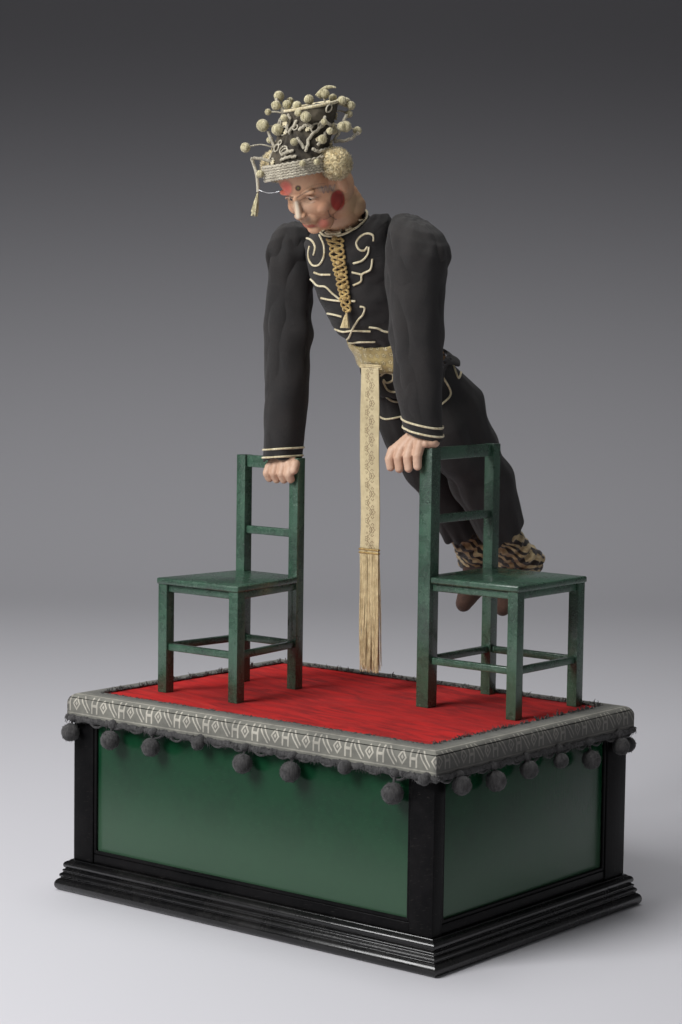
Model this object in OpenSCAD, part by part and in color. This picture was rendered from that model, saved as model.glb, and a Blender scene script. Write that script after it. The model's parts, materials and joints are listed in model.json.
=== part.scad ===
// Somersaulting acrobat between two chairs, on a clockwork cabinet.
// Millimetres. X runs along the cabinet, -Y is its front, Z is up, and the
// origin is the middle of the underside.

/* [Cabinet] */
// Length of the cabinet body
cabinet_w = 418; // [410:1:450]
// Depth of the cabinet body
cabinet_d = 297; // [290:1:340]
// Height of the carpet above the floor
stage_z = 185; // [178:1:200]
// Height of the moulded plinth
plinth_h = 29; // [26:1:36]
// How far the plinth stands out of the cabinet
plinth_out = 10; // [8:0.5:14]
// Thickness of the plinth behind the cabinet face
plinth_in = 12; // [11:1:16]
// Thickness of the bottom board
floor_t = 12; // [8:1:14]
// Width of each corner post on the long sides
post_w = 25; // [18:1:32]
// Depth of the front corner posts on the short sides
front_post_d = 14; // [10:1:24]
// Depth of the back corner posts on the short sides
back_post_d = 32; // [20:1:40]
// Height of the rail below each panel
rail_h = 9; // [6:1:14]
// Thickness of the panels
panel_t = 5; // [4:0.5:7]
// How far the panels sit behind the post faces
panel_inset = 4; // [2:0.5:6]
// Thickness of the top board
top_t = 18; // [14:1:20]
// How far the top board stands out of the cabinet
top_out = 3; // [2:0.5:6]
// Gap left by each joint between the wooden pieces
joint_gap = 0.2; // [0.1:0.05:0.3]

/* [Carpet and trim] */
// Thickness of the carpet
carpet_t = 2; // [1.5:0.5:3]
// Width of the braid lying on the stage
braid_w = 24; // [16:1:24]
// Height of braid hanging down the edge of the stage
braid_drop = 20; // [16:1:22]
// Thickness of the braid
braid_t = 1.5; // [1:0.25:2]
// Radius of a pompom of the fringe
pompom_r = 9; // [7:0.5:10]
// Drop from the braid's lower edge to the centre of a pompom
pompom_drop = 15; // [12:1:18]
// Spaces between pompoms along the cabinet
pompoms_w = 8; // [6:1:9]
// Spaces between pompoms along its depth
pompoms_d = 6; // [4:1:7]

/* [Chairs] */
// Height of the right chair's back above the carpet
right_back_h = 237; // [225:1:245]
// Height of the right chair's seat above the carpet
right_seat_h = 120; // [105:1:130]
// Width of the right chair between its leg centres
right_chair_w = 98; // [88:1:104]
// Depth of the right chair between its leg centres
right_chair_d = 97; // [84:1:104]
// Height of the left chair's back above the carpet
left_back_h = 220; // [212:1:226]
// Height of the left chair's seat above the carpet
left_seat_h = 108; // [98:1:116]
// Width of the left chair's back between its leg centres
left_back_w = 66; // [62:1:72]
// Width of the left chair's front between its leg centres
left_front_w = 88; // [76:1:94]
// Depth of the left chair between its leg centres
left_chair_d = 97; // [84:1:104]
// Place of the middle of the left chair's back along the cabinet
left_chair_x = -114; // [-116:0.5:-112]
// Place of the post that carries the acrobat along the cabinet
drive_x = 71; // [70:0.5:72]
// Place of the same post in depth
drive_y = 24; // [22:0.5:26]
// Thickness of the chair legs
leg_t = 10.5; // [9:0.5:11.5]
// Thickness of the hollow post that carries the acrobat
drive_post_t = 13.5; // [13.5:0.5:16]
// Thickness of the seats
seat_t = 6; // [4:0.5:8]
// How far the seats stand out of the legs
seat_out = 1.5; // [1:0.5:4]
// Height of the top rails
top_rail_h = 11.5; // [10:0.5:14]
// Height of the middle rails
mid_rail_h = 7.5; // [5:0.5:9]
// Height of the left chair's middle rail above its seat, as a share of the back
left_mid_rail_at = 0.36; // [0.3:0.01:0.55]
// Height of the right chair's middle rail above its seat, as a share of the back
right_mid_rail_at = 0.44; // [0.3:0.01:0.55]
// Height of the stretchers
stretcher_h = 6.5; // [5:0.5:9]
// Thickness of the rails and stretchers
rail_t = 6; // [5:0.5:7]
// Height of the stretchers' centres above the carpet
stretcher_z = 43; // [32:1:50]
// Height of the aprons below the seats
apron_h = 7; // [5:0.5:10]
// Radius of the pegs that hold the legs in the top board
peg_r = 3; // [2:0.5:4]
// Depth of those pegs below the carpet's surface
peg_l = 12; // [8:1:14]

/* [Acrobat] */
// Lean of the trunk from upright at rest, in degrees
lean = 36; // [34:1:38]
// Tilt of the head from upright at rest, in degrees
head_tilt = 40; // [38:1:43]
// Height of the shoulder axis above the carpet
shoulder_h = 418; // [416:1:424]
// Middle of the acrobat along the cabinet
acrobat_x = -19.5; // [-20:0.5:-19]
// Half the width between the middles of the two arms at the shoulder
arm_out = 76; // [75.5:0.5:76.5]
// Half the width of the trunk at the armholes
armhole_x = 49; // [48:0.5:49.5]
// Gap between the trunk and the sleeves
armhole_gap = 0.6; // [0.4:0.1:0.9]
// Thickness of the sleeves' cloth
sleeve_t = 2; // [1.5:0.1:2.5]
// Thickness of the jacket's cloth
jacket_t = 2; // [1.5:0.1:2.5]
// Distance from the shoulder axis to the middle of the belt
belt_d = 112; // [111:0.5:113]
// Width of the belt
belt_w = 20; // [16:1:22]
// Thickness of the belt
belt_t = 1.6; // [1.4:0.1:2.4]
// Distance from the shoulder axis to the hip axis
hip_d = 142; // [140:0.5:143]
// Distance from the hip axis to the soles
hip_to_sole = 282; // [276:1:288]
// Width of the hanging sash
sash_w = 23; // [20:1:26]
// Length of the sash without its tassels
sash_l = 174; // [160:1:176]
// Length of the sash's tassels
tassel_l = 116; // [104:1:118]
// Thickness of the sash
sash_t = 1.4; // [1.2:0.1:2]
// Height of the hat from the headband to its top edge
hat_h = 52; // [48:1:56]
// Radius of the hat at the headband
hat_r = 29.5; // [28:0.5:31]
// Radius of the hat at its top edge
hat_top_r = 24.5; // [22:0.5:27]
// Radius of a small pompom on the hat
spray_r = 5.2; // [4:0.2:6]
// Radius of the big pompoms over the ears
ear_pompom_r = 14; // [12:0.5:15]

/* [Mechanism] */
// Radius of the steel column inside the carrying arm
column_r = 5.2; // [5:0.1:5.4]
// Wall of the column
column_wall = 0.8; // [0.6:0.1:0.9]
// Radius of the push rods
rod_r = 1.3; // [1.1:0.1:1.4]
// Half the space between the two push rods
rod_out = 2.5; // [2.4:0.1:2.6]
// Module of the racks, pinions and small wheels
rack_m = 0.8; // [0.76:0.02:0.84]
// Teeth of the two shoulder pinions
pinion_teeth = 14; // [13:1:15]
// Radius of the shaft that carries the free arm
arm_shaft_r = 2.2; // [1.9:0.1:2.3]
// Wall of the tube that carries the trunk
trunk_tube_wall = 1.3; // [1.1:0.1:1.4]
// Running clearance of shafts in their bearings
run = 0.05; // [0.03:0.01:0.08]
// Clearance between pieces that lie close together
gap = 0.3; // [0.2:0.05:0.4]
// Height of the camshaft and of the barrel arbor
arbor_z = 66; // [64:1:70]
// Depth of the barrel arbor
barrel_y = 4; // [3:0.5:5]
// Radius of the mainspring barrel
barrel_r = 27; // [25:0.5:27.5]
// Length of the mainspring barrel
barrel_l = 34; // [30:1:35]
// Wall of the barrel
barrel_wall = 2; // [1.5:0.25:3]
// Thickness of the two motor plates
plate_t = 2.5; // [2:0.25:3]
// Place of the outer motor plate's inner face along the cabinet
plate_x = 50; // [49:0.5:51]
// Space between the two motor plates
plate_space = 44; // [43:0.5:46]
// Height of the motor plates
plate_h = 110; // [106:1:114]
// Module of the great wheel
great_m = 1; // [0.96:0.02:1.02]
// Thickness of the gear wheels
wheel_t = 2.5; // [2:0.25:3]
// Largest radius of the cams
cam_r = 28; // [27:0.5:29]
// Thickness of a cam and of a lever
cam_t = 3; // [2.5:0.25:3.5]
// Radius of the noses that follow the cams and lift the rods
nose_r = 3; // [2.8:0.1:3.2]
// Distance from the body lever's pivot to its cam nose
body_lever_in = 32; // [31:0.5:33]
// Distance from the arm lever's pivot to its cam nose
arm_lever_in = 40; // [39:0.5:41]
// Radius of the music cylinder
cylinder_r = 15; // [13:0.5:15.5]
// Length of the music cylinder
cylinder_l = 84; // [70:1:88]
// Reach of the fly's two vanes
fly_r = 14; // [11:0.5:14.5]

/* [Hidden] */
$fn = 48;

// Colours as the photograph shows them
black_wood = [0.05, 0.05, 0.06];
panel_green = [0.05, 0.2, 0.12];
chair_green = [0.12, 0.3, 0.2];
raw_wood = [0.55, 0.42, 0.28];
carpet_red = [0.65, 0.05, 0.05];
braid_grey = [0.42, 0.41, 0.4];
fringe_grey = [0.13, 0.13, 0.14];
cloth_black = [0.09, 0.07, 0.07];
gold_cloth = [0.72, 0.62, 0.42];
skin = [0.85, 0.66, 0.54];
cream = [0.85, 0.8, 0.65];
brass = [0.78, 0.62, 0.3];
steel = [0.6, 0.6, 0.62];

// Cabinet
half_w = cabinet_w / 2;
half_d = cabinet_d / 2;
board_z = stage_z - carpet_t - top_t;
panel_z = plinth_h + rail_h;
long_l = cabinet_w - 2 * (post_w + joint_gap);
side_l = cabinet_d - front_post_d - back_post_d - 2 * joint_gap;
side_y = -half_d + front_post_d + joint_gap;
rail_reach = panel_inset + panel_t - 1;
braid_z = stage_z - braid_drop;
stem_r = braid_t / 2 - 0.15;

// Shoulder gearing: two pinions on the shoulder axis and two racks behind them
addendum = 0.8;
dedendum = 1.05;
pressure = 25;
tooth_backlash = 0.15;
pinion_r = rack_m * pinion_teeth / 2;
pinion_tip_r = pinion_r + addendum * rack_m;
pinion_w = 4;
rack_w = 3.6;
rack_back = 2.9;
body_travel = 145;
arm_travel = 80;
body_rise = pinion_r * body_travel * PI / 180;
arm_fall = pinion_r * arm_travel * PI / 180;
shoulder_y = drive_y - pinion_r;
shoulder_z = stage_z + shoulder_h;
body_pinion_x = drive_x - rod_out;
arm_pinion_x = drive_x + rod_out;
trunk_tube_r = arm_shaft_r + run + trunk_tube_wall;
column_bore = column_r - column_wall;
column_gap = 0.2;
block_h = 5;
body_block_z = shoulder_z - pinion_tip_r - gap - body_rise - block_h;
arm_block_z = shoulder_z - pinion_tip_r - gap - 2 - block_h;
bracket_t = 3;
bracket_z = min(body_block_z, arm_block_z - arm_fall) - gap - bracket_t;
bearing_l = 5.5;
bearing_t = 2.5;
bearing_in = body_pinion_x - pinion_w / 2 - 1;
bearing_out = arm_pinion_x + pinion_w / 2 + 1;
bearing_r = 5.5;

// Chairs
leg_h = leg_t / 2;
drive_h = drive_post_t / 2;
left_chair_y = shoulder_y;
rail_top_z = stage_z + left_back_h;
post_top_z = stage_z + right_back_h;

// Acrobat, in the trunk's frame: origin on the shoulder axis, z along the spine
carry_x = acrobat_x + arm_out;
free_x = acrobat_x - arm_out;
waist_a = 43.5;
waist_b = 29.5;
waist_z = -belt_d - belt_w / 2 - 2;
skirt_y = 7;
skirt_z = -hip_d - 10;
hip_y = 7;
hip_r = 18;
hip_half = 34;
hip_pin_r = 2.5;
lug_w = 8;
lug_r = 6;
leg_x = 24;
leg_y = 13;
dowel_r = 6;
sole_z = -hip_d - hip_to_sole;
hem_z = sole_z + 72;
ankle_z = sole_z + 36;
neck_y = 5;
neck_z = 30;
neck_r = 18;
collar_r = 21.5;
collar_foot = 6;
collar_top = 26;
neck_pin_r = 1.5;
eye_w = 6;
eye_r = 5;
// The head's rounded masses in its own frame: middle and radius of each
nape = [[0, 3, 14], 20];
skull = [[0, 1, 34], 24];
face = [[0, -22, 54], 23];
chin = [[0, -33, 22.5], 10];
jaw = [[9.5, -18, 33], 13.5];
skull_fit = 1.5;
hat_base = [0, -23, 74];
hat_tilt = head_tilt - 17.5;
hat_lean = 34;
band_h = 10;
ear_c = [34.5, -9, 72];
bar_r = 1;
bar_out = 4.2;
bar_y = -waist_b - belt_t - bar_out;
sash_x = -3.5;
loop_r = bar_r + gap;
loop_out = loop_r + 1.1;

// Arms: the sleeves' rings are [x, y, z, a, b] from the shoulder axis
cuff_r = 18;
free_cuff_r = 21;
carry_cuff = [carry_x + 5.5, drive_y, post_top_z + 12];
free_cuff = [free_x - 6.5, shoulder_y, rail_top_z + 3];
swing_gap = 1.5;
finger_r = 5;
hub_r = 9;
hub_l = 30;
forearm_r = 6;

// Clockwork: heights and depths of its arbors
plate_in = plate_x - plate_space;
great_teeth = 72;
cam_pinion_teeth = 32;
cam_wheel_teeth = 56;
second_teeth = 10;
second_wheel_teeth = 50;
music_pinion_teeth = 20;
music_wheel_teeth = 40;
second_angle = 145;
fly_angle = 70;
cam_y = barrel_y - great_m * (great_teeth + cam_pinion_teeth) / 2;
second_d = rack_m * (cam_wheel_teeth + second_teeth) / 2;
fly_d = rack_m * (second_wheel_teeth + second_teeth) / 2;
second_y = cam_y + second_d * cos(second_angle);
second_z = arbor_z + second_d * sin(second_angle);
fly_y = second_y + fly_d * cos(fly_angle);
fly_z = second_z + fly_d * sin(fly_angle);
music_y = cam_y - rack_m * (music_pinion_teeth + music_wheel_teeth) / 2;
great_x = plate_x - 5 - wheel_t;
barrel_x = great_x - barrel_l - 0.5;
cam_wheel_x = great_x - 4 - wheel_t;
second_wheel_x = cam_wheel_x - 3.5 - wheel_t;
music_wheel_x = plate_in - plate_t - 3 - wheel_t;
camshaft_r = 3;
second_r = 2;
fly_shaft_r = 1.5;
arbor_r = 5;
extension_r = 4;
pivot_r = 3;
ratchet_r = 14;
ratchet_root = 11.5;
ratchet_teeth = 24;
ratchet_t = 3;
ratchet_x = plate_in - plate_t - gap - ratchet_t;
square_w = 5.6;
key_x = -half_w + panel_inset - 4;
key_l = 16;
click_pin = [-16, 17];
click_elbow = [-4, 17.5];
click_nose = [-1.16, 13.3];
click_pin_r = 1.5;
pillar_r = 3.5;
pillar_in = 8;
plate_front = barrel_y - 102;
plate_back = barrel_y + 41;
stop_r = 2;
stop_up = 10;
stop_end = second_wheel_x - 19;
vane_l = 15;
music_x = music_wheel_x - 16;
upright_t = 4;

// Levers, each on a stud of the outer plate: a nose under a rod, a nose over its cam
body_cam_x = plate_x + plate_t + 14.5;
arm_cam_x = body_cam_x + 5;
body_pivot_y = cam_y + body_lever_in;
arm_pivot_y = cam_y - arm_lever_in;
body_lever_out = drive_y - body_pivot_y;
arm_lever_out = drive_y - arm_pivot_y;
body_lever_turn = body_rise / body_lever_out * 180 / PI;
arm_lever_turn = arm_fall / arm_lever_out * 180 / PI;
nose_z = arbor_z + cam_r + nose_r + gap;
body_pivot_z = nose_z - body_lever_in * sin(body_lever_turn / 2);
body_rod_y = body_pivot_y + body_lever_out * cos(body_lever_turn / 2);
body_rod_z = body_pivot_z - body_lever_out * sin(body_lever_turn / 2);
arm_drop = 4;
arm_pivot_z = nose_z + arm_drop;
body_foot_z = body_rod_z + nose_r + gap;
arm_foot_z = arm_pivot_z + nose_r + gap;
foot_r = 2.2;
foot_h = 4;
stud_r = 2.5;
hub_wall = 3;
low_gap = 0.8;
body_low_r = cam_r - 2 * body_lever_in * sin(body_lever_turn / 2) + gap - low_gap;
arm_low_r = cam_r - arm_lever_in * sin(arm_lever_turn) + gap - low_gap;
body_step_at = 50;
arm_step_at = 12;
ramp_at = -56;
ramp_cut = 0.05;

// A point of the trunk's frame, in the object's frame
function trunk_point(p) = [acrobat_x + p.x,
    shoulder_y + p.y * cos(lean) - p.z * sin(lean),
    shoulder_z + p.y * sin(lean) + p.z * cos(lean)];

module trunk_frame() {
    translate([acrobat_x, shoulder_y, shoulder_z]) rotate([lean, 0, 0]) children();
}

module head_frame() {
    trunk_frame() translate([0, neck_y, neck_z]) rotate([head_tilt - lean, 0, 0]) children();
}

// Places a shape in the head's frame with its own z square to the headband
module hat_place() {
    translate(hat_base) rotate([-hat_tilt, 0, 0]) children();
}

module sash_frame() {
    translate(trunk_point([sash_x, bar_y, -belt_d])) children();
}

// Turns a shape so that what was drawn flat faces X, its x along Y and its y along Z
module along_x(x, y, z) {
    translate([x, y, z]) rotate([90, 0, 90]) children();
}

module rod_x(x0, x1, y, z, r) {
    along_x(x0, y, z) cylinder(h = x1 - x0, r = r);
}

function ellipse(a, b, n = 48) = [for (k = [0:n - 1]) [a * cos(k * 360 / n), b * sin(k * 360 / n)]];

module oval(x, y, z, a, b, h = 0.5) {
    translate([x, y, z]) linear_extrude(h) polygon(ellipse(a, b, 32));
}

// A smooth body through rings, each [x, y, z, a, b], all drawn in by a wall
module lofted(rings, wall = 0) {
    hull() for (r = rings) oval(r[0], r[1], r[2], r[3] - wall, r[4] - wall);
}

// A round bar with ball ends between two points
module capsule(a, b, r) {
    v = b - a;
    translate(a) rotate([0, acos(v.z / norm(v)), atan2(v.y, v.x)]) cylinder(h = norm(v), r = r);
    translate(a) sphere(r);
    translate(b) sphere(r);
}

// A flat link with round ends, drawn in a plane
module link2d(a, b, w) {
    v = b - a;
    translate(a) rotate(atan2(v.y, v.x)) translate([0, -w / 2]) square([norm(v), w]);
    translate(a) circle(w / 2);
    translate(b) circle(w / 2);
}

// Involute gear teeth
function unwind(rb, r) = r <= rb ? 0
    : sqrt(pow(r / rb, 2) - 1) * 180 / PI - atan(sqrt(pow(r / rb, 2) - 1));
function half_tooth(m, teeth, r) =
    let (rp = m * teeth / 2, rb = rp * cos(pressure))
    90 / teeth - tooth_backlash / (4 * rp) * 180 / PI + unwind(rb, rp) - unwind(rb, r);

module gear_shape(m, teeth, phase) {
    rp = m * teeth / 2;
    radii = [for (k = [0:3]) rp - dedendum * m + k * (addendum + dedendum) * m / 3];
    polygon([for (i = [0:teeth - 1]) for (k = [0:7])
        let (r = radii[k < 4 ? k : 7 - k],
             a = phase + i * 360 / teeth + (k < 4 ? -1 : 1) * half_tooth(m, teeth, r))
        r * [cos(a), sin(a)]]);
}

module gear(m, teeth, phase, t) {
    linear_extrude(t) gear_shape(m, teeth, phase);
}

// A rack whose teeth, numbered from the pinion's axis, point along -Y, with its bar from a height up
module rack(first, last, bar_z) {
    pitch = PI * rack_m;
    flank = tan(pressure) * rack_m;
    half = pitch / 4 - tooth_backlash / 4;
    root = half + dedendum * flank;
    tip = half - addendum * flank;
    top = last * pitch + root + 0.3;
    translate([-rack_w / 2, drive_y, shoulder_z]) rotate([90, 0, 90]) linear_extrude(rack_w) {
        for (k = [first:last])
            polygon([[dedendum * rack_m + 0.01, k * pitch - root],
                [-addendum * rack_m, k * pitch - tip],
                [-addendum * rack_m, k * pitch + tip],
                [dedendum * rack_m + 0.01, k * pitch + root]]);
        translate([dedendum * rack_m, bar_z - shoulder_z])
            square([rack_back - dedendum * rack_m, top - bar_z + shoulder_z]);
    }
}

// Four mitred mouldings round the cabinet; the child is the section, outwards and up
module mitred_ring(inner, outer, z1) {
    for (side = [0:3]) {
        long = side % 2 == 0 ? half_w : half_d;
        deep = side % 2 == 0 ? half_d : half_w;
        rotate([0, 0, 90 * side]) intersection() {
            translate([-long - outer - 1, -deep, 0]) rotate([90, 0, 90])
                linear_extrude(2 * (long + outer) + 2) mirror([1, 0, 0]) children();
            translate([0, 0, -1]) linear_extrude(z1 + 2) polygon([
                [-long - outer + joint_gap, -deep - outer],
                [long + outer - joint_gap, -deep - outer],
                [long - inner - joint_gap, -deep + inner],
                [-long + inner + joint_gap, -deep + inner]]);
        }
    }
}

module plinth() {
    h = plinth_h;
    o = plinth_out;
    color(black_wood) mitred_ring(plinth_in, o, h) difference() {
        polygon([[-plinth_in, 0], [o, 0], [o, 0.3 * h], [o - 1.5, 0.36 * h], [0.75 * o, 0.4 * h],
            [0.75 * o, 0.62 * h], [0.6 * o, 0.66 * h], [0.5 * o, 0.7 * h], [0.2 * o, 0.92 * h],
            [0.2 * o, h], [-plinth_in, h]]);
        translate([0.85 * o, 0.52 * h]) circle(0.1 * h, $fn = 24);
    }
}

module floor_board() {
    w = cabinet_w - 2 * (plinth_in + joint_gap);
    d = cabinet_d - 2 * (plinth_in + joint_gap);
    color(raw_wood) translate([-w / 2, -d / 2, 0]) cube([w, d, floor_t]);
}

module cabinet_frame() {
    post_h = board_z - plinth_h;
    color(black_wood) for (sx = [-1, 1]) {
        translate([sx * (half_w - post_w / 2) - post_w / 2, -half_d, plinth_h])
            cube([post_w, front_post_d, post_h]);
        translate([sx * (half_w - post_w / 2) - post_w / 2, half_d - back_post_d, plinth_h])
            cube([post_w, back_post_d, post_h]);
        translate([-long_l / 2, sx * (half_d - 1 - rail_reach / 2) - rail_reach / 2, plinth_h])
            cube([long_l, rail_reach, rail_h]);
        translate([sx * (half_w - 1 - rail_reach / 2) - rail_reach / 2, side_y, plinth_h])
            cube([rail_reach, side_l, rail_h]);
    }
}

module long_panel(side) {
    color(panel_green)
        translate([-long_l / 2, side * (half_d - panel_inset - panel_t / 2) - panel_t / 2, panel_z])
            cube([long_l, panel_t, board_z - panel_z]);
}

module front_panel() { long_panel(-1); }

module back_panel() { long_panel(1); }

module side_panels() {
    color(panel_green) difference() {
        for (sx = [-1, 1])
            translate([sx * (half_w - panel_inset - panel_t / 2) - panel_t / 2, side_y, panel_z])
                cube([panel_t, side_l, board_z - panel_z]);
        rod_x(-half_w, -half_w + post_w, barrel_y, arbor_z, extension_r + gap);
        rod_x(-half_w, -half_w + post_w, fly_y, fly_z + stop_up, stop_r + gap);
    }
}

// Frames of the chairs: the back lies on the local x axis and the front towards -y
module left_chair_frame() {
    translate([left_chair_x, left_chair_y, stage_z]) children();
}

module right_chair_frame() {
    translate([drive_x, drive_y + right_chair_w / 2, stage_z]) rotate([0, 0, 90]) children();
}

// Places of a chair's legs: two at the back, two at the front
function leg_places(wb, wf, d) = [[-wb / 2, 0], [wb / 2, 0], [-wf / 2, -d], [wf / 2, -d]];
left_legs = leg_places(left_back_w, left_front_w, left_chair_d);
right_legs = leg_places(right_chair_w, right_chair_w, right_chair_d);

module leg_pegs(extra = 0) {
    left_chair_frame() for (p = left_legs)
        translate([p.x, p.y, -peg_l]) cylinder(h = peg_l + extra, r = peg_r);
    right_chair_frame() for (k = [1:3])
        translate([right_legs[k].x, right_legs[k].y, -peg_l]) cylinder(h = peg_l + extra, r = peg_r);
}

module stage_layer(z, t, hole_r) {
    difference() {
        translate([-half_w - top_out, -half_d - top_out, z])
            cube([cabinet_w + 2 * top_out, cabinet_d + 2 * top_out, t]);
        leg_pegs(1);
        translate([drive_x, drive_y, z - 1]) cylinder(h = t + 2, r = hole_r);
    }
}

module top_board() {
    color(black_wood) stage_layer(board_z, top_t, column_r + run);
}

module carpet() {
    color(carpet_red) stage_layer(stage_z - carpet_t, carpet_t, column_r + column_gap);
}

module trim_band() {
    o = top_out + braid_t;
    color(braid_grey) mitred_ring(braid_w - top_out, o, stage_z + braid_t)
        polygon([[top_out, braid_z], [o, braid_z], [o, stage_z + braid_t],
            [top_out - braid_w, stage_z + braid_t], [top_out - braid_w, stage_z], [top_out, stage_z]]);
}

// One pompom below the braid's outer edge, facing -y at the front of a side
module fringe_ball(x, deep) {
    ball_z = braid_z - pompom_drop;
    translate([x, -deep - max(pompom_r + gap, top_out + braid_t / 2), ball_z]) sphere(pompom_r);
    translate([x, -deep - top_out - braid_t / 2, ball_z]) cylinder(h = pompom_drop - 0.2, r = stem_r);
}

module pompom_fringe() {
    corner = pompom_r / 2;
    color(fringe_grey) {
        for (side = [0, 2]) rotate([0, 0, 90 * side]) for (k = [0:pompoms_w])
            fringe_ball(-half_w + corner + k * (cabinet_w - 2 * corner) / pompoms_w, half_d);
        for (side = [1, 3]) rotate([0, 0, 90 * side]) for (k = [0:pompoms_d - 1])
            fringe_ball(-half_d + (k + 0.5) * cabinet_d / pompoms_d, half_w);
    }
}

// Chair parts, each in the chair's frame
module chair_leg(p, h, t) {
    translate([p.x - t / 2, p.y - t / 2, 0]) cube([t, t, h]);
}

// A bar between two legs, cut back to their faces
module chair_bar(a, b, z, h, ta, tb) {
    v = b - a;
    difference() {
        translate([a.x, a.y, z - h / 2]) rotate([0, 0, atan2(v.y, v.x)])
            translate([0, -rail_t / 2, 0]) cube([norm(v), rail_t, h]);
        for (leg = [[a, ta], [b, tb]]) translate([leg[0].x, leg[0].y, z - h])
            translate([-leg[1] / 2 - joint_gap, -leg[1] / 2 - joint_gap, 0])
                cube([leg[1] + 2 * joint_gap, leg[1] + 2 * joint_gap, 2 * h]);
    }
}

module chair_seat(legs, seat_h, corner_t) {
    reach = leg_h + seat_out;
    difference() {
        translate([0, 0, seat_h - seat_t]) linear_extrude(seat_t) polygon([
            [legs[0].x - reach, -leg_h], [legs[0].x - reach, leg_h - 1],
            [legs[1].x + reach, leg_h - 1], [legs[1].x + reach, -leg_h],
            [legs[3].x + reach, legs[3].y - reach], [legs[2].x - reach, legs[2].y - reach]]);
        for (k = [0, 1]) {
            t = (k == 0 ? corner_t : leg_t) / 2 + joint_gap;
            translate([legs[k].x - t, -t, seat_h - seat_t - 1]) cube([2 * t, 2 * t + seat_out, seat_t + 2]);
            translate([legs[k].x + (k == 0 ? -t - 5 : 0), -t, seat_h - seat_t - 1])
                cube([t + 5, 2 * t + seat_out, seat_t + 2]);
        }
    }
}

module chair_rails(legs, seat_h, back_h, mid_rail_at, corner_t) {
    mid_z = seat_h + mid_rail_at * (back_h - seat_h);
    thick = [corner_t, leg_t, leg_t, leg_t];
    chair_bar(legs[0], legs[1], back_h - top_rail_h / 2, top_rail_h, corner_t, leg_t);
    chair_bar(legs[0], legs[1], mid_z, mid_rail_h, corner_t, leg_t);
    for (pair = [[0, 1], [0, 2], [1, 3], [2, 3]]) {
        a = pair[0];
        b = pair[1];
        chair_bar(legs[a], legs[b], stretcher_z, stretcher_h, thick[a], thick[b]);
        chair_bar(legs[a], legs[b], seat_h - seat_t - apron_h / 2, apron_h, thick[a], thick[b]);
    }
}

module left_chair_seat() {
    color(chair_green) left_chair_frame() chair_seat(left_legs, left_seat_h, leg_t);
}

module left_chair_legs() {
    color(chair_green) {
        left_chair_frame() for (k = [0:3])
            chair_leg(left_legs[k], k < 2 ? left_back_h : left_seat_h - seat_t, leg_t);
        left_chair_frame() for (p = left_legs) translate([p.x, p.y, -peg_l])
            cylinder(h = peg_l + 1, r = peg_r);
    }
}

module left_chair_rails() {
    color(chair_green) left_chair_frame()
        chair_rails(left_legs, left_seat_h, left_back_h, left_mid_rail_at, leg_t);
}

module right_chair_seat() {
    color(chair_green) right_chair_frame() chair_seat(right_legs, right_seat_h, drive_post_t);
}

module right_chair_legs() {
    color(chair_green) right_chair_frame() for (k = [1:3]) {
        chair_leg(right_legs[k], k < 2 ? right_back_h : right_seat_h - seat_t, leg_t);
        translate([right_legs[k].x, right_legs[k].y, -peg_l]) cylinder(h = peg_l + 1, r = peg_r);
    }
}

module drive_post() {
    color(chair_green) right_chair_frame() difference() {
        chair_leg(right_legs[0], right_back_h, drive_post_t);
        translate([right_legs[0].x, 0, -1]) cylinder(h = right_back_h + 2, r = column_r + column_gap);
    }
}

module right_chair_rails() {
    color(chair_green) right_chair_frame()
        chair_rails(right_legs, right_seat_h, right_back_h, right_mid_rail_at, drive_post_t);
}

module drive_column() {
    color(steel) translate([drive_x, drive_y, board_z]) difference() {
        cylinder(h = bracket_z - board_z, r = column_r);
        translate([0, 0, -1]) cylinder(h = bracket_z - board_z + 2, r = column_bore);
    }
}

// The bracket on the column's head: a plate with two bearings that stand up from it
module shoulder_bracket() {
    front = shoulder_y - bearing_r;
    color(brass) difference() {
        union() {
            translate([drive_x, drive_y, bracket_z]) cylinder(h = bracket_t, r = column_r + 2.8);
            translate([bearing_in - bearing_l, front, bracket_z])
                cube([bearing_out + bearing_t - bearing_in + bearing_l, drive_y - front, bracket_t]);
            for (b = [[bearing_in - bearing_l, bearing_l], [bearing_out, bearing_t]]) {
                translate([b[0], front, bracket_z])
                    cube([b[1], 2 * bearing_r, shoulder_z - bracket_z]);
                rod_x(b[0], b[0] + b[1], shoulder_y, shoulder_z, bearing_r);
            }
        }
        translate([drive_x, drive_y, bracket_z - 1]) cylinder(h = bracket_t + 2, r = column_bore);
        rod_x(bearing_in - bearing_l - 1, bearing_in + 1, shoulder_y, shoulder_z, trunk_tube_r + run);
        rod_x(bearing_out - 1, bearing_out + bearing_t + 1, shoulder_y, shoulder_z, arm_shaft_r + run);
    }
}

// Sleeves: rings from the shoulder down to the cuff, cut flat where they meet the trunk
function sleeve_top(x, a) = [[x, shoulder_y, shoulder_z + 24, 0.48 * a, 0.45 * a],
    [x, shoulder_y, shoulder_z + 18, 0.78 * a, 0.74 * a],
    [x, shoulder_y, shoulder_z + 8, 0.96 * a, 0.91 * a],
    [x, shoulder_y, shoulder_z - 5, a, 0.94 * a],
    [x - 1, shoulder_y, shoulder_z - 48, 0.86 * a, 0.85 * a]];

module sleeve(top, low, cuff_z) {
    difference() {
        union() {
            lofted(top);
            lofted(low);
        }
        lofted([for (r = top) [r[0], r[1], r[2] - 1.5, r[3], r[4]]], sleeve_t);
        lofted([for (r = low) [r[0], r[1], r[2], r[3], r[4]]], sleeve_t);
        lofted([for (z = [cuff_z - 1, cuff_z + 3])
            let (r = low[len(low) - 1]) [r[0], r[1], z, r[3], r[4]]], sleeve_t);
    }
}

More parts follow.
